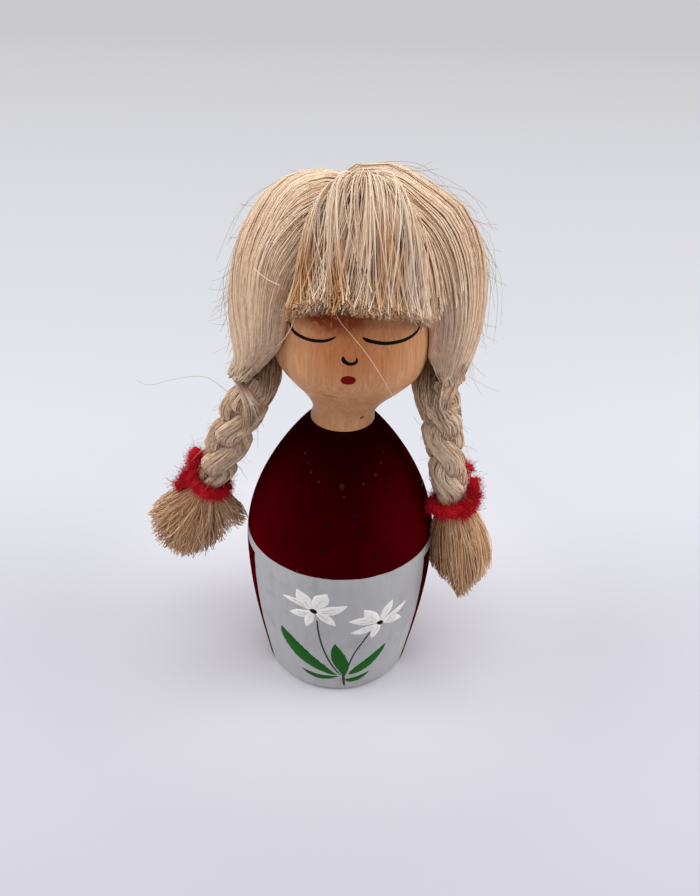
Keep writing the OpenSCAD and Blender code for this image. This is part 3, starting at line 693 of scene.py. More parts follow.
def hank(which, seed, count=1500, segments=19):
    rng = np.random.default_rng(seed)
    out_and_back = np.r_[np.linspace(0.004, 0.996, 18), np.linspace(0.996, 0.004, 18)]
    t, s = np.meshgrid(np.linspace(0, 1, 21), out_and_back, indexing="ij")
    lift = np.repeat((0.9, 0.02), 18) * (1 - 0.6 * ease((t - 0.92) / 0.08))
    middle = core("hank_core", hank_place(which, t, s, lift)[0], 0.62, flip=which == "right")
    u = np.linspace(0, 1, segments)
    s0 = rng.uniform(0.004, 0.996, (count, 1))
    locks = np.sort(rng.uniform(0, 1, 60))
    lock = np.argmin(np.abs(s0 - locks), axis=1)

    def by_lock(size):
        return rng.normal(0, size, len(locks))[lock][:, None]

    gather = 0.17 * np.sin(math.pi * u) * rng.uniform(0.2, 1, (count, 1))
    s = s0 + (locks[lock][:, None] - s0) * gather + wander(rng, count, u, 0.007)
    s = s + rng.normal(0, 0.012, (count, 1)) * u
    depth = rng.exponential(0.035, (count, 1))
    lift = 1.0 - np.clip(depth, 0, 0.2) + wander(rng, count, u, 0.007) + by_lock(0.014) * np.sin(math.pi * u)
    # At the parting the fibres dip and cross it, and at the plait their ends curl in
    curl_from = 0.93 + by_lock(0.022)
    lift = lift - rng.uniform(0.02, 0.3, (count, 1)) * hump(u, 0, 0.05) - 0.75 * ease((u - curl_from) / 0.07)
    t = u * rng.uniform(0.975, 1.0, (count, 1))
    paths, outward = hank_place(which, t, np.clip(s, 0.001, 0.999), lift,
                                rng.uniform(-0.09, 0.05, (count, 1)))
    # Deeper fibres are painted darker as shade between them; the top of the hank is painted lighter as light
    # from above, and its foot darker as shade
    tones = 0.65 + by_lock(0.03) + rng.normal(0, 0.06, (count, 1)) - depth * 1.3
    tones = tones + 0.03 * wander(rng, count, u, 1.0)
    tones = tones + 0.16 * hump(u, 0.16, 0.16) - 0.16 * ease((u - 0.9) / 0.1)
    threads = fibres("hank_fibres", paths, outward, rng.uniform(0.15, 0.3, (count, 1)), tones)
    # Towards the face, the ends at the foot are turned in as loose curls
    number = 300
    at, start_t = rng.uniform(0.02, 0.42, number), rng.uniform(0.84, 0.92, number)
    spots = [hank_place(which, start_t, at, 1.0)[0]]
    for k, (further, high) in enumerate([(0.045, 1.04), (0.085, 0.92), (0.1, 0.66), (0.06, 0.45)]):
        t = np.minimum(start_t + further + rng.normal(0, 0.008, number), 1.0)
        s = np.clip(at + rng.normal(0.05 * k, 0.03, number), 0.01, 0.9)
        spots.append(hank_place(which, t, s, high)[0] + rng.normal(0, 0.22, (number, 3)))
    v = np.linspace(0, 1, 12)
    curls = curve_at(spots, v).swapaxes(0, 1)
    # The curls are painted darker towards their ends, as shade where they turn in under the hank
    curled = fibres("curled_ends", curls, unit(curls - ROOT_END[which]), rng.uniform(0.15, 0.32, (number, 1)),
                    rng.normal(0.72, 0.19, (number, 1)) - 0.4 * v ** 3)
    whole = joined([middle, threads, curled], which + "_hank_hair")
    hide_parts(which + "_hank")
    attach(whole, "doll")


hank("left", 1)
hank("right", 2)


# Fringe. A short tuft is laid forwards over the parting and cut straight above the eyes. Its
# fibres are coarser, cross each other, and end in a pale frayed edge.
def fringe_place(t, s, lift):
    """Place on the fringe, t down it and s across it from -1 to 1, with lift 0 at the wood and 1 outside."""
    angle = np.radians(lerp(95.0, 33.0, t))
    half_w = 16.3 * curve_at([0.24, 0.5, 0.68, 0.85, 1], t)
    across = (1.1 + s * half_w) / 21.7
    forward = np.sqrt(1 - across ** 2)
    d = np.stack([across, -forward * np.cos(angle), forward * np.sin(angle)], axis=-1)
    inner = wood_reach(d) + HAIR_GAP
    full = lerp(hair_reach(d) - inner, 4.2, curve_at([0.34, 0.2, 0.3, 0.64, 1], t))
    bulge = np.sqrt(np.clip(1 - np.abs(s) ** 5, 0, 1))
    return HEAD_MID + (inner + full * bulge * lift)[..., None] * d, d


def fringe_end(s):
    """How far down the fringe is cut. It is shortest at its ends and over a thin place left of its middle."""
    return 0.965 - 0.045 * ease((0.05 - s) / 0.5) - 0.05 * ease((s - 0.78) / 0.22) - 0.1 * hump(s, -0.25, 0.1)


def fringe(seed, count=2000, segments=11):
    rng = np.random.default_rng(seed)
    t, s = np.meshgrid(np.linspace(0, 1, 15) * 0.9,
                       np.r_[np.linspace(-1, 1, 16), np.linspace(1, -1, 16)] * 0.94, indexing="ij")
    middle = core("fringe_core", fringe_place(t, s, np.repeat((0.6, 0.05), 16))[0], 0.82, 1, flip=True)
    u = np.linspace(0, 1, segments)
    # The fibres hang in small locks, which lean and stand off a little one from another
    locks = np.sort(rng.uniform(-1, 1, 26))
    lock_ways = [rng.normal(0, size, 26) for size in (0.15, 0.1, 0.08, 0.02)]
    s0 = rng.uniform(-1, 1, (count, 1))
    lock = np.argmin(np.abs(s0 - locks), axis=1)
    lean_by, lift_by, tone_by, end_by = (values[lock][:, None] for values in lock_ways)
    crossing = rng.uniform(0, 1, (count, 1)) < 0.34
    depth = rng.uniform(0, 1, (count, 1)) ** 1.4
    s = s0 + 0.5 * (locks[lock][:, None] - s0) * u ** 0.8 + lean_by * u ** 1.4
    aside = np.where(crossing, rng.normal(0, 0.22, (count, 1)), rng.normal(0, 0.05, (count, 1)))
    s = s + aside * u ** 1.3 + wander(rng, count, u, 0.018)
    end = fringe_end(s0) + end_by + rng.normal(0, 0.01, (count, 1))
    end = end - 0.04 * rng.uniform(0, 1, (count, 1)) ** 3
    lift = 1.0 - 0.5 * depth + lift_by * np.sin(math.pi * u) + wander(rng, count, u, 0.025)
    lift = lift - 0.25 * hump(s0, -0.25, 0.1) * u
    lift = lift + np.where(crossing, 0.1, 0) + rng.normal(0.3, 0.14, (count, 1)) * (1 - 0.7 * depth) * u ** 5
    paths, outward = fringe_place(np.clip(u * end, 0, 1.08), np.clip(s, -1.0, 1.0), lift)
    # Painted shade: brown shadows between locks at places across the fringe, with deeper fibres darker
    painted_shade = 0.16 * hump(s, 0.32, 0.1) * hump(u, 0.55, 0.22) + 0.3 * hump(s, -0.68, 0.09) * hump(u, 0.66, 0.2)
    painted_shade = painted_shade + 0.34 * hump(s, -0.27, 0.07) * ease((u - 0.62) / 0.3)
    painted_shade = painted_shade + 0.14 * hump(s, -0.02, 0.05) * hump(u, 0.3, 0.2)
    tones = 1.04 + tone_by + rng.normal(0, 0.11, (count, 1)) - 0.26 * depth - painted_shade
    # The cut ends are paler, partly bleached flax and partly painted light
    tones = tones + 0.16 * ease((u - 0.84) / 0.12)
    # Gold warms the painted shadows, the shaded patch right of the middle and the deeper fibres
    golds = (hump(s, -0.72, 0.16) * ease((u - 0.45) / 0.3) + hump(s, -0.27, 0.1) * ease((u - 0.5) / 0.3)
             + 0.7 * hump(s, 0.3, 0.2) * ease((u - 0.35) / 0.25))
    golds = np.clip(0.85 * golds * (rng.uniform(0, 1, (count, 1)) < 0.65) + 0.1 + 0.6 * depth, 0, 1)
    threads = fibres("fringe_fibres", paths, outward, rng.uniform(0.14, 0.31, (count, 1)), tones, golds)
    # The cut edge is frayed into short pale ends that point every way
    number = 2200
    s = rng.uniform(-1, 1, number)
    t = fringe_end(s) - 0.02 + rng.normal(0, 0.018, number)
    high = 1.3 - 0.6 * rng.uniform(0, 1, number) ** 2 - 0.2 * hump(s, -0.25, 0.1)
    start, away = fringe_place(t, s, high)
    below = unit(fringe_place(t + 0.03, s, 0.7)[0] - fringe_place(t, s, 0.7)[0])
    way = unit(0.55 * below + rng.normal(0, 0.42, (number, 3)) + 0.75 * away)
    v = np.linspace(0, 1, 5)[None, :, None]
    size = rng.uniform(0.5, 1.25, (number, 1, 1))
    paths = start[:, None] + v * size * way[:, None] + v ** 2 * size * rng.normal(0, 0.25, (number, 1, 3))
    frays = fibres("fringe_ends", paths, away[:, None] + 0.01, rng.uniform(0.12, 0.26, (number, 1)),
                   rng.normal(1.04, 0.1, (number, 1)), rng.uniform(0.1, 1, (number, 1)))
    whole = joined([middle, threads, frays], "fringe_hair")
    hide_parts("fringe")
    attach(whole, "doll")


fringe(3)


# Crown. Where fringe and hanks meet, loose fibres run down between them from the gather, and a
# few lie crossed over the parting.
def crown(seed, segments=18):
    rng = np.random.default_rng(seed)
    u = np.linspace(0, 1, segments)
    rows = []
    for which, count, shares in (("left", 420, (0.0, 1.0)), ("right", 200, (0.0, 0.42))):
        first = rng.uniform(*shares, (count, 1))
        share = lerp(first, 1.04 if which == "left" else first, ease((u - 0.1) / 0.75))
        share = share + rng.normal(0, 0.08, (count, 1)) * u * (1 - u) + wander(rng, count, u, 0.015)
        if which == "right":
            share = np.where(rng.uniform(0, 1, (count, 1)) < 0.35, rng.uniform(0.75, 1.1, (count, 1)), share)
        t = u * rng.uniform(0.8, 0.99, (count, 1))
        a, a_out = fringe_place(t, SIDES[which] * rng.uniform(0.8, 0.98, (count, 1)) + 0 * t, 0.9)
        b, b_out = hank_place(which, 0.02 + 0.56 * t, rng.uniform(0.0, 0.12, (count, 1)) + 0 * t, 0.97)
        share = np.clip(share, -0.2, 1.1)[..., None]
        out = unit(lerp(a_out, b_out, share))
        bulge = 4 * np.clip(share, 0, 1) * (1 - np.clip(share, 0, 1))
        sunk = (0.5 * ease((u - 0.85) / 0.15) if which == "left" else 0 * u)[:, None]
        paths = lerp(a, b, share) + out * (0.5 * bulge + rng.normal(-0.15, 0.25, (count, 1, 1)) - sunk)
        rows.append((paths, out, 0.78 + rng.normal(0, 0.12, (count, 1))))
    # These lie over the parting, from one side of the gather to the other
    count = 260
    to_left, swing_to = rng.choice([-1, 1], count)[:, None] < 0, rng.normal(-8, 18, count)
    start_t, start_s = rng.uniform(0.0, 0.05, count), np.clip((swing_to + 22) / 90, 0.01, 0.9)
    a = hank_place("left", start_t, start_s, rng.uniform(0.8, 1.0, count))[0]
    far_t = rng.uniform(0.08, 0.24, count)
    far_s = np.clip((swing_to + rng.normal(0, 14, count) + 24) / 90, 0.01, 0.95)
    b = np.where(to_left, *(hank_place(which, far_t, far_s, 1.0)[0] for which in SIDES))
    way = unit((a + b) / 2 - HEAD_MID)
    over = (a + b) / 2 + way * rng.uniform(0.1, 1.2, (count, 1)) + rng.normal(0, 0.7, (count, 3))
    paths = bezier(u, a, over, b)
    rows.append((paths, np.broadcast_to(way[:, None], paths.shape), 0.76 + rng.normal(0, 0.14, (count, 1))))
    paths, outward, tones = (np.concatenate(group) for group in zip(*rows))
    whole = fibres("crown_hair", paths, outward, rng.uniform(0.15, 0.3, (len(paths), 1)), tones)
    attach(whole, "doll")


crown(13)

# Plaits. Each is three bundles of the same flax laid over each other, drawn in at the tie, and
# hangs from its hank. The places below follow the figure of eight of the CAD strands.
WAIST_R, STRAND_R, STRAND_GAP, STRAND_PITCH = 2.85, 3.0, 0.2, 30
STRAND_THROW, STRAND_WEAVE = 2.45, 2.0
plait_length = {"left": 29.0, "right": 28.5}
lean = {"left": 24.05, "right": 11.17}
swing = {"left": 3.0, "right": -6.0}
facing = {"left": math.radians(62), "right": math.radians(80)}
hold_shares = {"left": [1, 1.06, 1.1, 1.06, 0.94, 0], "right": [1, 0.98, 0.88, 0.72, 0.66, 0]}


def way_on_plait(which, directions):
    """Directions in the plait's own frame, which leans outwards and swings a little, turned to the doll's."""
    turned = (Matrix.Rotation(math.radians(-SIDES[which] * lean[which]), 3, "Y")
              @ Matrix.Rotation(math.radians(swing[which]), 3, "X"))
    return directions @ np.array(turned).T


def from_plait(which, places):
    """Places in the plait's own frame, hanging down from the middle of its root, moved to the doll's."""
    return way_on_plait(which, places) + ROOT_END[which] - (0, 0, ROOT_R + HAIR_GAP)


def plait_hold(which, depth):
    """Radius that a plait is held within at a depth."""
    low = lerp(WAIST_R, ROOT_R, curve_at(hold_shares[which], depth / plait_length[which]))
    return np.where(depth < 0, np.sqrt(np.maximum(ROOT_R ** 2 - depth ** 2, 0)), low)


def strand_middle(which, k, depth):
    a = 2 * math.pi * (depth / STRAND_PITCH + k / 3)
    spread = curve_at([0.62, 0.95, 1, 1, 0.92, 0.42], (depth + ROOT_R) / (plait_length[which] + ROOT_R))
    spread = spread * np.minimum(1, plait_hold(which, depth) / ROOT_R)
    x, y = STRAND_THROW * spread * np.sin(a), STRAND_WEAVE * spread * np.sin(2 * a)
    c, s, side = math.cos(facing[which]), math.sin(facing[which]), SIDES[which]
    return np.stack([x * c - side * y * s, side * x * s + y * c], axis=-1)


def strand_place(which, k, depth, a, lift):
    """Place on strand k at a depth and an angle round it, with the way outwards."""
    mid = strand_middle(which, k, depth)
    u = np.stack([np.cos(a), np.sin(a)], axis=-1)
    r = np.full(depth.shape, STRAND_R)
    for j in (1, 2):
        other = strand_middle(which, (k + j) % 3, depth) - mid
        half_way = (np.linalg.norm(other, axis=-1) - STRAND_GAP) / 2
        r = np.minimum(r, half_way / np.maximum(dots(u, unit(other)), 0.001))
    inward = dots(mid, u)
    held = np.sqrt(np.maximum(inward ** 2 + plait_hold(which, depth) ** 2 - dots(mid, mid), 0)) - inward
    flat = mid + (np.minimum(r, held) * lift)[..., None] * u
    place = np.concatenate([flat, -depth[..., None]], axis=-1)
    return place, np.concatenate([u, 0 * depth[..., None]], axis=-1)


def plait(which, seed, count=300, segments=36):
    rng = np.random.default_rng(seed)
    top, bottom = -ROOT_R * 0.92, plait_length[which] - STRAND_GAP
    u = np.linspace(0, 1, segments)
    for k in range(3):
        depth, a = np.meshgrid(np.linspace(top, bottom, 39), np.linspace(0, 2 * math.pi, 19)[:-1],
                               indexing="ij")
        ring = from_plait(which, strand_place(which, k, depth, a, 0.93)[0])
        # The core's dark tone is painted shade in the gaps between the fibres
        middle = core("strand_core", ring, 0.18, flip=True)
        depth = np.broadcast_to(lerp(top, bottom, u), (count, segments))
        a = rng.uniform(0, 2 * math.pi, (count, 1)) + rng.normal(0.8, 0.7, (count, 1)) * u
        a = a + wander(rng, count, u, 0.12)
        lift = 1.0 - np.clip(rng.exponential(0.04, (count, 1)), 0, 0.12) + wander(rng, count, u, 0.02)
        lift = lift + (rng.uniform(0, 1, (count, 1)) < 0.1) * 0.05
        paths, outward = strand_place(which, k, depth, a, lift)
        tones = 0.67 + rng.normal(0, 0.16, (count, 1)) - 0.3 * (rng.uniform(0, 1, (count, 1)) < 0.2)
        tones = tones + 0.05 * wander(rng, count, u, 1.0)
        threads = fibres("strand_fibres", from_plait(which, paths), way_on_plait(which, outward),
                         rng.uniform(0.18, 0.34, (count, 1)), tones)
        whole = joined([middle, threads], f"{which}_plait_strand_{k + 1}_hair")
        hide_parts(f"{which}_plait_strand_{k + 1}")
        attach(whole, which + "_plait")


plait("left", 4)
plait("right", 5)

# Tassels. Below each tie the ends of the flax spread into a loose brush, crossing and frayed.
TIE_R = 1.5
tassel_size = {"left": (23.5, 21.4), "right": (28.0, 13.4)}
# At a share of the length, the radii towards the body, away from it and to the front, in half widths
tassel_outline = {
    "left": [(0.12, 0.97, 0.42, 0.38), (0.27, 1.2, 0.68, 0.5), (0.47, 1.12, 0.94, 0.66),
             (0.66, 0.87, 1.02, 0.74), (0.83, 0.66, 0.78, 0.66), (0.95, 0.42, 0.42, 0.42)],
    "right": [(0.12, 0.7, 0.7, 0.62), (0.27, 0.88, 0.94, 0.8), (0.45, 0.94, 1.02, 0.92),
              (0.65, 0.88, 1.02, 0.9), (0.84, 0.72, 0.94, 0.76), (0.97, 0.56, 0.7, 0.56)],
}
spread_power = {"left": 1.5, "right": 2.6}


def tassel_place(which, depth, a, share):
    """Place in a tassel, by depth below its tie, angle from the body's side and share of its radius."""
    length, width = tassel_size[which]
    neck = WAIST_R * 0.98
    rows = [(STRAND_GAP, neck, neck, neck), (TIE_R, neck, neck, neck)]
    rows += [(TIE_R + d * (length - TIE_R), *(r * width / 2 for r in radii))
             for d, *radii in tassel_outline[which]]
    rows = np.array(rows + [(length, *(0.5 * r for r in rows[-1][1:]))])
    near, far, deep = (np.interp(depth, rows[:, 0], rows[:, j]) for j in (1, 2, 3))
    x = -SIDES[which] * np.where(np.cos(a) > 0, near, far) * np.cos(a) * share
    return np.stack([x, -deep * np.sin(a) * share, -depth - plait_length[which] + 0 * a], axis=-1)


def tassel(which, seed, count=2900, segments=10):
    rng = np.random.default_rng(seed)
    length = tassel_size[which][0]
    depth, a = np.meshgrid(np.linspace(STRAND_GAP, length * 0.78, 14), np.linspace(0, 2 * math.pi, 23)[:-1],
                           indexing="ij")
    # The core's dark tone is painted shade in the gaps between the fibres
    middle = core("tassel_core", from_plait(which, tassel_place(which, depth, a, 0.66)), 0.12,
                  flip=which == "right")
    u = np.linspace(0, 1, segments)
    # Each fibre leaves the tie downwards and fans out to a cut end of its own on the brush's outline
    a = rng.uniform(0, 2 * math.pi, count)
    reach = 1 - 0.62 * rng.uniform(0, 1, count) ** spread_power[which]
    share = np.where(reach > 0.84, 1.2 * np.sqrt(rng.uniform(0, 1, count)), rng.uniform(0.8, 1.03, count))
    if which == "left":
        # A notch on the body's side leaves a small second lobe that rests on the dress
        notched = (np.abs(reach - 0.5) < 0.07) & (np.cos(a) > 0.25)
        share = np.where(notched, share * 0.66, share)
        small = rng.uniform(0, 1, count) < 0.2
        reach = np.where(small, rng.uniform(0.1, 0.36, count), reach)
        share = np.where(small, rng.uniform(0.7, 1.04, count), share)
        a = np.where(small, rng.normal(0, 0.55, count), a)
    else:
        # It is cut slantwise, and its outer layer towards the body is shorter
        shorter = np.interp(np.cos(a) * share, (-1, -0.5, 0.0, 0.35, 0.6, 1),
                            (0.7, 0.78, 0.9, 0.92, 0.74, 0.64))
        reach = reach * shorter
    reach = reach * np.clip(rng.normal(0.985, 0.03, count), 0.8, 1.02)
    end = tassel_place(which, length * reach, a, share)
    start_a = a + rng.normal(0, 0.5, count)
    start = tassel_place(which, STRAND_GAP, start_a, np.sqrt(rng.uniform(0.1, 0.95, count)))
    neck = np.array((0, 0, -plait_length[which]))
    size = np.linalg.norm(end - start, axis=1, keepdims=True)
    leaving = unit(0.35 * unit((start - neck) * (1, 1, 0) + 1e-6) + (0, 0, -1.0) + 0.5 * unit(end - start))
    landing = unit(end - neck - (0, 0, -2.5)) + rng.normal(0, 0.3, (count, 3))
    if which == "left":
        leaving = np.where((reach < 0.4)[:, None], unit(end - start), leaving)
    else:
        # It swells out at once below the tie, and its fibres end nearly upright
        leaving = unit(leaving + 0.75 * unit((end - neck) * (1, 1, 0))
                       * (share * (1 - 0.5 * np.cos(a)))[:, None])
        landing = 0.35 * landing + (0, 0, -0.9) + rng.normal(0, 0.22, (count, 3))
    loose = rng.uniform(0, 1, (count, 1)) < 0.09
    near_end = end - unit(landing) * size * 0.3 + loose * rng.normal(0, 1.6, (count, 3))
    paths = bezier(u, start, start + leaving * size * 0.35, near_end, end)
    outward = unit(paths - (neck - (0, 0, 6.0)))
    # Fibres are painted darker just under the tie, as shade, and lighter towards their ends
    tones = 0.7 + rng.normal(0, 0.21, (count, 1)) + 0.2 * u - 0.2 * hump(u, 0, 0.12) + 0.25 * loose
    if which == "right":
        # On the right, the side towards the body is painted darker, as shade
        inner = (np.cos(a) * share)[:, None]
        tones = tones - 0.4 * ease((inner - 0.2) / 0.5) + 0.06 - 0.12 * inner
    threads = fibres("tassel_fibres", from_plait(which, paths), way_on_plait(which, outward),
                     rng.uniform(0.12, 0.24, (count, 1)), tones, 0.6)
    whole = joined([middle, threads], which + "_tassel_hair")
    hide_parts(which + "_tassel")
    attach(whole, which + "_plait")


tassel("left", 6)
tassel("right", 7)

# Yarn ties. A length of red two-ply wool is wound round the foot of each plait and knotted. A
# loop of it stands up on the left and an end on the right, in a halo of fine loose wool.
wool, tree, shader, place = new_material("red_wool_yarn")
red_wool = colour_ramp(tree, toned(tree, place, 1400, 3, 0.15),
                       ((0.0, "#6d020c"), (0.5, "#b60414"), (1, "#e22238")))
set_inputs(tree, shader, Base_Color=red_wool, Roughness=0.9, Specular_IOR_Level=0.2, Sheen_Weight=0.15,
           Sheen_Tint="#ff5060")
# The route of the yarn, as a turn round the plait, a share of its radius and one of the bow's height.
# A second turn fills the loop, or the end that stands up.
yarn_route = {
    "left": ([(246, 1.3, 0.62), (222, 1.17, 0.25), (190, 1.05, 0), (150, 1.02, -0.02), (105, 1, -0.03),
              (55, 1, -0.02), (0, 1, 0), (-38, 1.03, 0.08), (-66, 1.1, 0.3), (-82, 1.2, 0.72),
              (-91, 1.26, 1.08), (-96, 1.2, 0.78), (-97, 1.06, 0.36), (-96, 1.05, -0.1), (-92, 1.22, -0.5),
              (-88, 1.5, -0.86)],
             [(-48, 1.06, 0.04), (-66, 1.08, 0.1), (-80, 1.1, 0.22), (-87, 1.12, 0.14), (-87, 1.14, -0.15),
              (-83, 1.2, -0.42)]),
    "right": ([(234, 1.5, 1.15), (214, 1.42, 0.75), (186, 1.22, 0.32), (150, 1.04, 0.02), (100, 1, 0),
               (50, 1, 0), (0, 1, 0), (-48, 1.03, 0.1), (-78, 1.14, 0.4), (-88, 1.26, 0.7), (-93, 1.3, 0.92)],
              [(-20, 1.06, -0.08), (-46, 1.12, 0.0), (-68, 1.2, 0.18), (-82, 1.3, 0.42)]),
}
bow_height = {"left": 6.4, "right": 6.5}


def along_line(points, count):
    """Places, two ways across and the length, evenly spread along a smooth line through points."""
    fine_line = curve_at(points, np.linspace(0, 1, 600))
    gone = np.r_[0, np.cumsum(np.linalg.norm(np.diff(fine_line, axis=0), axis=1))]
    line = np.stack([np.interp(np.linspace(0, gone[-1], count), gone, values)
                     for values in fine_line.T], axis=-1)
    tangent = unit(np.gradient(line, axis=0))
    across = [unit(np.cross(tangent[0], (0.3, 0.2, 1)))]
    for way in tangent[1:]:
        across.append(unit(across[-1] - dots(across[-1], way) * way))
    return line, np.array(across), np.cross(tangent, across), gone[-1]


def yarn_tie(which, seed):
    rng = np.random.default_rng(seed)
    ring_r = WAIST_R + STRAND_GAP + TIE_R
    pieces = []
    for route, rows in zip(yarn_route[which], (150, 60)):
        points = [(-SIDES[which] * ring_r * share * math.sin(math.radians(a)),
                   -ring_r * share * math.cos(math.radians(a)), bow_height[which] * h - plait_length[which])
                  for a, share, h in route]
        line, a_way, b_way, size = along_line(points, rows)
        for ply in range(2):
            twist = 2 * math.pi * np.linspace(0, size / 5.4, rows) + math.pi * ply
            middle_line = line + 0.46 * (np.cos(twist)[:, None] * a_way + np.sin(twist)[:, None] * b_way)
            angle = np.linspace(0, 2 * math.pi, 13)[:-1, None]
            lumps = 1.04 + rng.normal(0, 0.07, (rows, 12))
            ends = np.minimum(1, 0.35 + np.minimum(np.arange(rows), rows - 1 - np.arange(rows)) / 5)[:, None]
            round_it = np.cos(angle) * a_way[:, None] + np.sin(angle) * b_way[:, None]
            rings = middle_line[:, None] + (lumps * ends)[..., None] * round_it
            pieces.append(core("ply", from_plait(which, rings), 0.5 + 0.1 * ply, material=wool))
        # Loose wool: most of it short and lying close, some longer and paler
        count = 38 * rows
        at = rng.integers(0, rows, count)
        angle = rng.uniform(0, 2 * math.pi, (count, 1))
        away = np.cos(angle) * a_way[at] + np.sin(angle) * b_way[at]
        bend = unit(0.5 * away + rng.normal(0, 1, (count, 3)))
        v = np.linspace(0, 1, 4)[:, None]
        length = (rng.uniform(0.5, 1.2, (count, 1)) + 0.7 * rng.uniform(0, 1, (count, 1)) ** 10)[..., None]
        paths = (line[at] + rng.uniform(1.0, 1.4, (count, 1)) * away)[:, None]
        paths = paths + v * length * (0.3 * away + 0.6 * bend)[:, None]
        paths = paths + v ** 2 * rng.normal(0, 0.6, (count, 1, 3)) * length
        outward = way_on_plait(which, np.cross(bend, away + 0.01))[:, None]
        pieces.append(fibres("fuzz", from_plait(which, paths), outward, rng.uniform(0.035, 0.07, (count, 1)),
                             rng.normal(0.85, 0.2, (count, 1)), material=wool))
    whole = joined(pieces, which + "_yarn")
    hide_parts(which + "_yarn_tie")
    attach(whole, which + "_plait")


yarn_tie("left", 8)
yarn_tie("right", 9)


# Roots of the plaits. Hair from the nape and from under each hank is drawn in round the top of
# its plait.
def round_plait(which, depth, share, away):
    """Places at a depth, in the plait's own frame, at a share of the radius that it is held within."""
    return np.concatenate([plait_hold(which, depth)[:, None] * share * away[:, :2], -depth[:, None]], axis=1)


def plait_root(which, seed, segments=14):
    rng = np.random.default_rng(seed)
    side, end_here = SIDES[which], ROOT_END[which]
    u = np.linspace(0, 1, segments)
    # From the nape, round the inner side
    count = 420
    start, _ = hank_place(which, rng.uniform(0.6, 0.84, count), rng.uniform(0.74, 0.98, count),
                          rng.uniform(0, 0.7, count))
    turned = rng.uniform(-1.1, 1.2, count)
    around = np.stack([-side * np.cos(turned), np.sin(turned), 0 * turned], axis=-1)
    low = rng.uniform(0.0, 5.5, count)
    end = from_plait(which, round_plait(which, low, rng.uniform(0.8, 0.96, (count, 1)), around))
    middle = end_here - (0, 0, 1.0) + around * rng.uniform(6.0, 8.8, (count, 1)) + (0, 1.0, 0)
    inner_paths = bezier(u, start, middle + rng.normal(0, 0.5, (count, 3)), end)
    inner_out = np.broadcast_to(around[:, None], inner_paths.shape)
    # Nape hair is painted dark, as shade behind the head, lightening towards the plait
    nape_painted_shade_tones = 0.28 + rng.normal(0, 0.13, (count, 1)) + 0.26 * u
    # From the foot of the hank, laid slantwise over the front of the first strands
    count = 520
    slant = rng.uniform(0, 1, count)
    across = (0.56 if which == "left" else 0.16) + 0.4 * (slant - 0.5) + rng.normal(0, 0.05, count)
    across = np.clip(across, 0.01, 0.99)
    from_t, high = rng.uniform(0.66, 0.9, count), rng.uniform(0.97, 1.03, count)
    spots = [hank_place(which, t, across, high - sunk)[0]
             for t, sunk in ((from_t, 0.06), ((from_t + 0.95) / 2, 0), (np.full(count, 0.95), 0.03))]
    phi = lerp(1.25, -0.35, slant)
    around = np.stack([np.cos(phi), -np.sin(phi), 0 * phi], axis=-1)
    low = lerp(8.2, 3.2, slant) + rng.normal(0, 0.7, count)
    bulge = unit(around + (-0.7, -1.3, 0))
    spots.append(end_here - (0, 0, 4.6) + bulge * rng.uniform(5.1, 5.9, (count, 1))
                 + rng.normal(0, 0.3, (count, 3)))
    spots.append(from_plait(which, round_plait(which, low, rng.uniform(0.86, 1.0, (count, 1)), around)))
    paths = curve_at(spots, u).swapaxes(0, 1)
    outward = np.broadcast_to(bulge[:, None], paths.shape)
    # Both ends are painted darker, as shade under the hank and where they go into the plait
    tones = 0.6 + rng.normal(0, 0.19, (count, 1)) - 0.2 * (2 * u - 1) ** 4
    paths, outward, tones = (np.concatenate(pair) for pair in (
        (inner_paths, paths), (inner_out, outward), (nape_painted_shade_tones, tones)))
    whole = fibres(which + "_plait_root_hair", paths, outward, rng.uniform(0.15, 0.3, (len(paths), 1)), tones)
    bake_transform(whole)


plait_root("left", 14)
plait_root("right", 15)


# Stray hairs. Single fibres have worked loose: a few long ones lie over the hair and the face,
# and fine ones stand off the outline all round.
def strays(name, body, paths, width, tone):
    taper = np.linspace(1, 0.6, paths.shape[1])
    whole = fibres(name, paths, np.array((0.1, -1.0, 0.3)), width * taper,
                   tone + rng.normal(0, 0.15, (len(paths), 1)))
    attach(whole, body)


rng = np.random.default_rng(16)
u, v = np.linspace(0, 1, 30), np.linspace(0, 1, 30)[::3]
long_ones = [
    [(-2.7, -13.6, 107.2), (-1.1, -15.4, 104.4), (1.4, -17.1, 102.0), (4.3, -18.2, 98.8), (7.3, -17.6, 93.9),
     (10.4, -14.0, 87.0)],
    [(-24.5, 1.0, 113.5), (-21.5, -2.0, 112.4), (-18.2, -9.0, 112.2), (-15.4, -13.6, 111.9),
     (-12.7, -16.8, 111.9)],
    [(-9.6, -12.6, 105.6), (-10.3, -12.4, 103.2), (-11.0, -13.0, 101.4), (-12.6, -12.6, 98.6),
     (-14.8, -10.4, 95.6)],
]
far_one = [(-26.3, -3.0, 80.9), (-31.2, -3.0, 84.6), (-38.0, -3.0, 83.9), (-43.8, -3.0, 82.2),
           (-46.6, -3.2, 83.4)]
strays("long_stray_hairs", "doll", np.array([curve_at(points, u) for points in long_ones]), 0.2, 0.95)
strays("far_stray_hair", "left_plait", curve_at(far_one, u)[None], 0.1, 0.35)
fine_paths = []
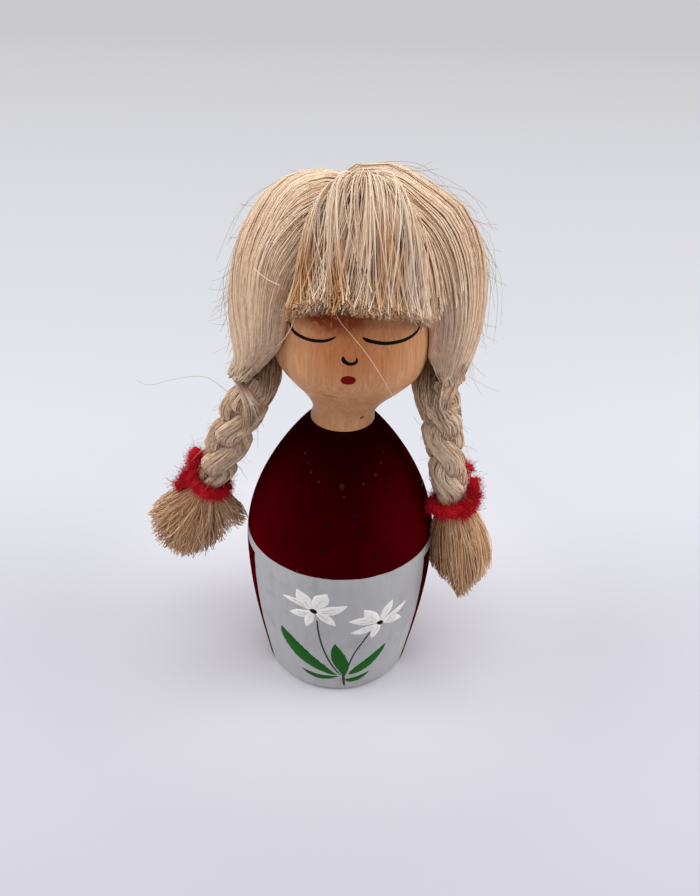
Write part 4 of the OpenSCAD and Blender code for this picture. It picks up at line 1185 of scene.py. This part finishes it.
for which, count in (("left", 75), ("right", 80)):
    t, across = rng.uniform(0.05, 0.76, count), rng.uniform(0.02, 0.98, count)
    start, away = hank_place(which, t, across, 0.97)
    down = unit(hank_place(which, np.minimum(t + 0.03, 1), across, 0.97)[0]
                - hank_place(which, t - 0.03, across, 0.97)[0])
    size = rng.uniform(3, 11, (count, 1))
    middle = start + size * 0.5 * down + away * rng.uniform(0.2, 1.4, (count, 1))
    end = start + size * unit(down + rng.normal(0, 0.3, (count, 3)))
    end = end + away * rng.uniform(0.5, 4.5, (count, 1))
    fine_paths.append(bezier(v, start, middle, end))
# Some of them are long, leave the crown and arch beside the hank
for which, count in (("left", 12), ("right", 22)):
    t, across = rng.uniform(0.03, 0.4, count), rng.uniform(0.15, 0.6, count)
    spots = []
    for further, out in ((0.0, 0.0), (0.08, 0.8), (0.18, 2.6), (0.3, 3.6)):
        at_t = np.minimum(t + further * rng.uniform(0.8, 1.2, count), 1)
        at, away = hank_place(which, at_t, np.clip(across + rng.normal(0, 0.03, count), 0, 1), 1.0)
        spots.append(at + away * out * rng.uniform(0.2, 1.3, (count, 1)))
    fine_paths.append(curve_at(spots, v).swapaxes(0, 1))
strays("fine_stray_hairs", "doll", np.concatenate(fine_paths), 0.08, 0.4)
for which in SIDES:
    count = 60
    depth = rng.uniform(5, plait_length[which] - 2, count)
    angle = rng.uniform(0, 2 * math.pi, count)
    away = np.stack([np.cos(angle), np.sin(angle), 0 * angle], axis=-1)
    start = round_plait(which, depth, 0.95, away)
    size = rng.uniform(1.5, 6.5, (count, 1))
    way = unit(away * rng.uniform(0.2, 0.9, (count, 1)) + rng.normal(0, 0.5, (count, 3)) + (0, 0, -0.6))
    end = start + size * way
    middle = (start + end) / 2 + away * size * 0.16 + rng.normal(0, 0.3, (count, 3))
    strays(which + "_plait_strays", which + "_plait", from_plait(which, bezier(v, start, middle, end)),
           0.08, 0.45)
    # Others have slipped out of their strand and lie on it askew
    count = 260
    depth = rng.uniform(3, plait_length[which] - 5, (count, 1))
    angle = rng.uniform(0, 2 * math.pi, (count, 1))
    depth = depth + rng.uniform(2, 6, (count, 1)) * v
    angle = angle + rng.normal(0, 0.5, (count, 1)) * v + rng.normal(0, 0.12, (count, 1)) * np.sin(3 * v)
    rise = 0.09 * np.sin(math.pi * v)
    on_them = [strand_place(which, int(k), depth[i], angle[i], 1.04 + rise * rng.uniform(0, 1))[0]
               for i, k in enumerate(rng.integers(0, 3, count))]
    strays(which + "_plait_loose_hair", which + "_plait", from_plait(which, np.array(on_them)), 0.17, 0.75)
